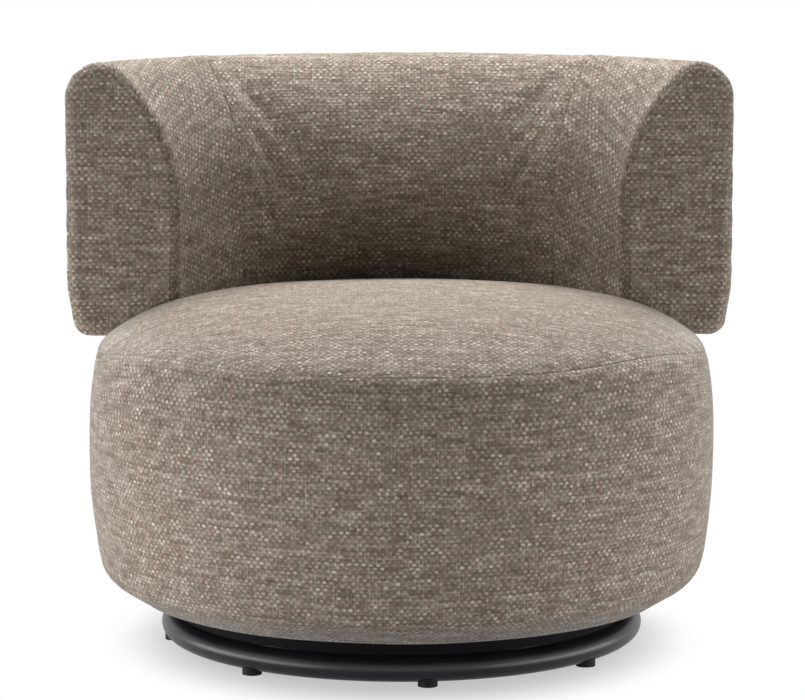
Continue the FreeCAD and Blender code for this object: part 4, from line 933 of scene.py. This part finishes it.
def inflateDrum():
    length = drumLengths[-1]
    rows = np.linspace(padding["poleGap"], length, int(length / softness["step"]))
    rings = turnedGrid(np.broadcast_to(rows[:, None], (len(rows), drumSoft["columns"])))[0]
    seams = turnedGrid(seamPlaces()[0][None, :])[0][0]

    def freedom(points):
        clearOfBack = np.max([
            backForm["inner"] - fromBackAxis(points), backForm["front"] - points[:, 1],
            backForm["lift"] - points[:, 2]], axis=0)
        high = points[:, 2] - padding["footHeight"]
        return np.min([nearestDistance(points, seams), clearOfBack, high], axis=0)

    inflate("drum", rings, freedom)


def inflateBack():
    endTurn = armEnd(backLoop)[0]
    steps = int(np.degrees(pi - 2 * endTurn.mean()) / padding["turnStep"])
    fronts = np.linspace(0, 1, padding["edgeColumns"])
    right, left = ([place for place, normal in armColumns(backLoop, side, fronts)] for side in (1, -1))
    swept = [
        sweptColumn(backLoop, endTurn + (pi - 2 * endTurn) * share)[0]
        for share in np.linspace(0, 1, steps)]
    rings = np.stack(right[::-1] + swept[1:-1] + left)
    rear, seam = pi / 2, radians(backForm["centreSeam"])
    seams = [sweptColumn(backInside, turn)[0] for turn in (rear + seam, rear - seam)]
    seams += [armColumns(backLoop, side, (0.5,))[0][0] for side in (1, -1)]
    seams.append(rings[:, len(backInside[0]) - 1])

    def freedom(points):
        return np.minimum(nearestDistance(points, np.concatenate(seams)), -insideDrum(points, 0.0))

    inflate("back", rings, freedom)


def makeSeatTop():
    seams, length = seamPlaces()
    rows = spread(length, False, True)
    rows[0] = 1.0                              # the pole's fan closes the middle
    distance = np.broadcast_to((length - rows)[:, None], (len(rows), len(seams)))
    points, normals = seamedGrid(rows, distance, seams, length)
    reach = np.linalg.norm(points[..., :2], axis=-1, keepdims=True)
    flat = points[..., :2] / reach * rows[:, None, None]        # keeps the weave even over the edge
    depth = clothDepth(distance, flat, drumSoft["seatSeed"], "seatDip", seamShare(points))
    depth = depth + backPress(points)
    weave = np.concatenate([flat, flat[:, :1]], axis=1)
    makeCover(
        "seat_top", "drum", points, normals, weave, depth, ("bottom",),
        ("seat_top_cover", "seat_cushion_foam"), drumSoft["seatFill"], closed=True, pole=True)


def makeDrumSide():
    seams, start = seamPlaces()
    length = float(drumLengths[-1]) - start
    rows = spread(length, True, False)
    distance = np.broadcast_to(rows[:, None], (len(rows), len(seams)))
    points, normals = seamedGrid(start + rows, distance, seams, start)
    columns = drumSoft["columns"]
    around = np.arange(columns + 1) / columns * tau * drumForm["bellyRadius"]
    weave = np.stack(np.broadcast_arrays(around[None, :], -rows[:, None]), axis=-1)
    calm = np.clip((length - distance) / drumSoft["calmEdge"], 0, 1)
    sewn = seamShare(points)
    plain = sewn * sink(distance, "sideDip")
    slanted = points[..., :2] + points[..., 2:] * drumSoft["slant"]
    wavy = clothDepth(distance, slanted, drumSoft["sideSeed"], "sideDip", sewn)
    depth = plain + calm * (wavy - plain)
    makeCover(
        "drum_side", "drum", points, normals, weave, depth, ("top",),
        ("drum_side_cover", "drum_side_foam"), drumSoft["sideFill"], closed=True)


# Backrest: centre, wings, outer cover and arm fronts

backSoft = {
    "edgeShares": (0.0, 0.12, 0.22, 0.3, 0.37, 0.42, 0.46, 0.485, 0.5),
    "frontShares": (0.5, 0.515, 0.54, 0.58, 0.64, 0.72, 0.82, 0.91, 1.0),
    "frontStep": 4.0, "frontLines": 26, "wingTilt": 27.0, "fan": 0.5, "footGap": 2.0,
    "fill": 0.85, "frontFill": 0.9,
}
mirror = {1: np.array([1, 1, 1]), -1: np.array([-1, 1, 1])}   # right arm, left arm


# the columns of the arm's rounded edge, from the swept surface to the flat front
def armColumns(run, side, shares):
    turn, place, outward = armEnd(run)
    columns = []
    for share in shares:
        points, normals = edgeArc(place, outward, share)
        columns.append((points * mirror[side], normals * mirror[side]))
    return columns


# columns from one side to the other, each a turn in radians or an arm: -1 left, 1 right
def panelColumns(run, start, end):
    endTurn = armEnd(run)[0]
    arms = {1: endTurn, -1: pi - endTurn}
    first, last = (arms.get(value, np.full(len(endTurn), value)) for value in (start, end))
    length = abs(float(np.mean(last - first))) * float(np.mean(run[0][:, 0]))
    places = spread(length, start not in arms, end not in arms) / length
    columns = [sweptColumn(run, first + (last - first) * share) for share in places]
    if start in arms:
        columns = armColumns(run, start, backSoft["edgeShares"])[::-1][:-1] + columns
    if end in arms:
        columns = columns + armColumns(run, end, backSoft["edgeShares"])[1:]
    return columns


# where a column goes into the drum, as a length along it
def drumCrossing(place, path):
    depth = insideDrum(place)
    if not (depth > 0).any():
        return path[-1]
    hit = int(np.argmax(depth > 0))
    share = depth[hit - 1] / (depth[hit - 1] - depth[hit])
    return path[hit - 1] + share * (path[hit] - path[hit - 1])


def weaveTurned(weave, angle):
    turn = radians(angle)
    return weave @ np.array([[cos(turn), sin(turn)], [-sin(turn), cos(turn)]])


def backPanel(name, run, start, end, nodes, middle, tilt=0.0):
    lengths = pathLengths(run[0], 0)
    fine = np.array(seamEdge["rows"])
    rows = int(lengths[-1] / softness["step"])
    grid, outward, maps = [], [], []
    for place, normals in panelColumns(run, start, end):
        turn = np.arctan2(place[:, 1] - backForm["axisY"], place[:, 0])
        flat = np.stack([(middle - turn) * fromBackAxis(place), -lengths], axis=1)
        path = pathLengths(place, 0)
        stop = min(drumCrossing(place, path) + softness["contact"], path[-1])
        wanted = np.concatenate([fine[:-1], np.linspace(fine[-1], stop, rows)])
        grid.append(resample(place, path, wanted))
        outward.append(unit(resample(normals, path, wanted)))
        maps.append(resample(flat, path, wanted))
    points, normals, weave = (np.stack(part, axis=1) for part in (grid, outward, maps))
    along, across = pathLengths(points, 0), pathLengths(points, 1)
    nearest = np.minimum(along, np.minimum(across, across[:, -1:] - across))
    depth = clothDepth(nearest, weave, sum(map(ord, name)))
    makeCover(
        name, "back", points, normals, weaveTurned(weave, tilt), depth, ("top", "left", "right"),
        nodes, backSoft["fill"])


# the drum's surface under an arm front, from one crossing to the other, a little sunk
def drumUnderFront(first, last, shares):
    flat = drumRun[0] - softness["contact"] * drumRun[1]
    front = backForm["front"]
    keep = (flat[:, 0] > front) & (flat[:, 1] > last[2] - softness["contact"])
    flat = flat[keep]
    across = np.sqrt(flat[:, 0] ** 2 - front ** 2)
    inner, outer = abs(first[0]), abs(last[0])
    clear = backSoft["footGap"]
    keep = (across > inner + clear) & ((across < outer - clear) | (flat[:, 1] > last[2] + 2 * clear))
    line = np.stack([across[keep], np.full(keep.sum(), front), flat[keep, 1]], axis=1)
    line = np.concatenate([[np.abs(first)], line, [np.abs(last)]])
    path = pathLengths(line, 0)
    fanned = 1 - (1 - shares) ** backSoft["fan"]     # more of it for the lines from the arm's foot
    return resample(line, path, fanned * path[-1])


# one arm front: its rounded edge from the seam, and the flat inside it down to the drum
def armFront(name, side, node):
    loops, outward = [], []
    for place, normals in armColumns(backLoop, 1, backSoft["frontShares"]):
        path = pathLengths(place, 0)
        last = drumCrossing(place[len(place) // 2:], path[len(place) // 2:])
        half = place[:len(place) // 2][::-1]
        first = path[len(half) - 1] - drumCrossing(half, pathLengths(half, 0))
        first, last = first - softness["contact"], last + softness["contact"]
        if not loops:
            count = int((last - first) / backSoft["frontStep"])
            shares = np.linspace(0, 1, count)
        wanted = first + (last - first) * shares
        loops.append(resample(place, path, wanted))
        outward.append(unit(resample(normals, path, wanted)))
    edge = loops[-1]
    base = drumUnderFront(edge[0], edge[-1], shares)
    for share in np.linspace(0, 1, backSoft["frontLines"] + 1)[1:]:
        loops.append(edge + (base - edge) * share)
        outward.append(outward[-1])
    points, normals = np.stack(loops, axis=1), np.stack(outward, axis=1)
    nearest = pathLengths(points, 1)
    weave = points[..., ::2].copy()
    depth = clothDepth(nearest, weave, sum(map(ord, name)))
    points, normals = points * mirror[side], normals * mirror[side]
    if side == 1:                              # so that its faces also point outward
        points, normals, weave, depth = points[::-1], normals[::-1], weave[::-1], depth[::-1]
    makeCover(
        name, "back", points, normals, weave, depth, ("left",), (node,), backSoft["frontFill"],
        merged=True)


def makeBackPanels():
    seam, rear, tilt = radians(backForm["centreSeam"]), pi / 2, backSoft["wingTilt"]
    backPanel("back_centre", backInside, rear + seam, rear - seam, ("back_centre_cover", "back_foam"), rear)
    backPanel("back_wing_left", backInside, -1, rear + seam, ("wing_cover_left",), rear + seam, -tilt)
    backPanel("back_wing_right", backInside, rear - seam, 1, ("wing_cover_right",), rear - seam, tilt)
    backPanel("back_outer", backOutside, 1, -1, ("back_outer_cover",), rear)
    armFront("arm_front_left", -1, "arm_front_cover_left")
    armFront("arm_front_right", 1, "arm_front_cover_right")


# Staples that hold the dust cover to the bottom board, in a ring near its edge. Millimetres, degrees.

staples = {
    "count": 72, "circle": 286.0, "crown": 10.0, "leg": 1.5, "bend": 0.5, "wire": 0.55,
    "wander": 9.0, "seed": 4, "sides": 6, "bendSteps": 2,
}


# the tree takes one staple's centre line, thickens it and sets copies of it round a circle
def stapleTree():
    tree = bpy.data.node_groups.new("staple_ring", "GeometryNodeTree")
    add = partial(addNode, tree)
    sockets = {
        "Line": "Geometry", "Count": "Int", "Circle": "Float", "Bend": "Float", "Wire": "Float",
        "Wander": "Float", "Seed": "Int", "Finish": "Material"}
    for name, kind in sockets.items():
        tree.interface.new_socket(name, in_out="INPUT", socket_type="NodeSocket" + kind)
    tree.interface.new_socket("Geometry", in_out="OUTPUT", socket_type="NodeSocketGeometry")
    given = add("NodeGroupInput", output=None).outputs
    line = add("GeometryNodeMeshToCurve", None, {"Mesh": given["Line"]})
    line = add("GeometryNodeFilletCurve", {"mode": "POLY"}, {
        "Curve": line, "Count": staples["bendSteps"], "Radius": given["Bend"]})
    section = add("GeometryNodeCurvePrimitiveCircle", None, {
        "Resolution": staples["sides"], "Radius": given["Wire"]})
    staple = add("GeometryNodeCurveToMesh", None, {
        "Curve": line, "Profile Curve": section, "Fill Caps": True})
    ring = add("GeometryNodeMeshCircle", None, {"Vertices": given["Count"], "Radius": given["Circle"]})
    share = add("ShaderNodeMath", "DIVIDE", [add("GeometryNodeInputIndex"), given["Count"]])
    slack = add("FunctionNodeRandomValue", {"data_type": "FLOAT"}, {
        2: -1.0, 3: 1.0, "Seed": given["Seed"]}, 1)
    slack = add("ShaderNodeMath", "MULTIPLY", [slack, given["Wander"]])
    turn = add("ShaderNodeMath", "MULTIPLY_ADD", [share, tau, slack])
    turn = add("ShaderNodeCombineXYZ", None, {2: turn})
    copies = add("GeometryNodeInstanceOnPoints", None, {
        "Points": ring, "Instance": staple, "Rotation": turn})
    solid = add("GeometryNodeRealizeInstances", None, [copies])
    solid = add("GeometryNodeSetMaterial", None, {"Geometry": solid, "Material": given["Finish"]})
    add("NodeGroupOutput", None, [solid], None)
    return tree


def makeStaples():
    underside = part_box("dust_cover")[0][2]
    half, leg = staples["crown"] / 2, staples["leg"]
    line = [(0, -half, leg), (0, -half, 0), (0, half, 0), (0, half, leg)]
    piece = meshObject("dust_cover_staples", line, [], [(0, 1), (1, 2), (2, 3)])
    tree = stapleTree()
    modifier = piece.modifiers.new("ring", "NODES")
    modifier.node_group = tree
    values = {
        "Count": staples["count"], "Circle": staples["circle"] * mm, "Bend": staples["bend"] * mm,
        "Wire": staples["wire"] / 2 * mm, "Wander": radians(staples["wander"]),
        "Seed": staples["seed"], "Finish": finishes["zinc_steel"],
    }
    for item in tree.interface.items_tree:
        if item.name in values:
            modifier[item.identifier] = values[item.name]
    mesh = plainMesh(piece)
    piece.modifiers.remove(modifier)
    mesh.transform(Matrix.Translation((0, 0, underside - staples["wire"] / 2 * mm)))
    piece.data = mesh
    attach(piece, "seat")
    print("staples", len(mesh.polygons), "faces")


dressNodes()
inflateDrum()
inflateBack()
makeSeatTop()
makeDrumSide()
makeBackPanels()
print("panels")
makeStaples()
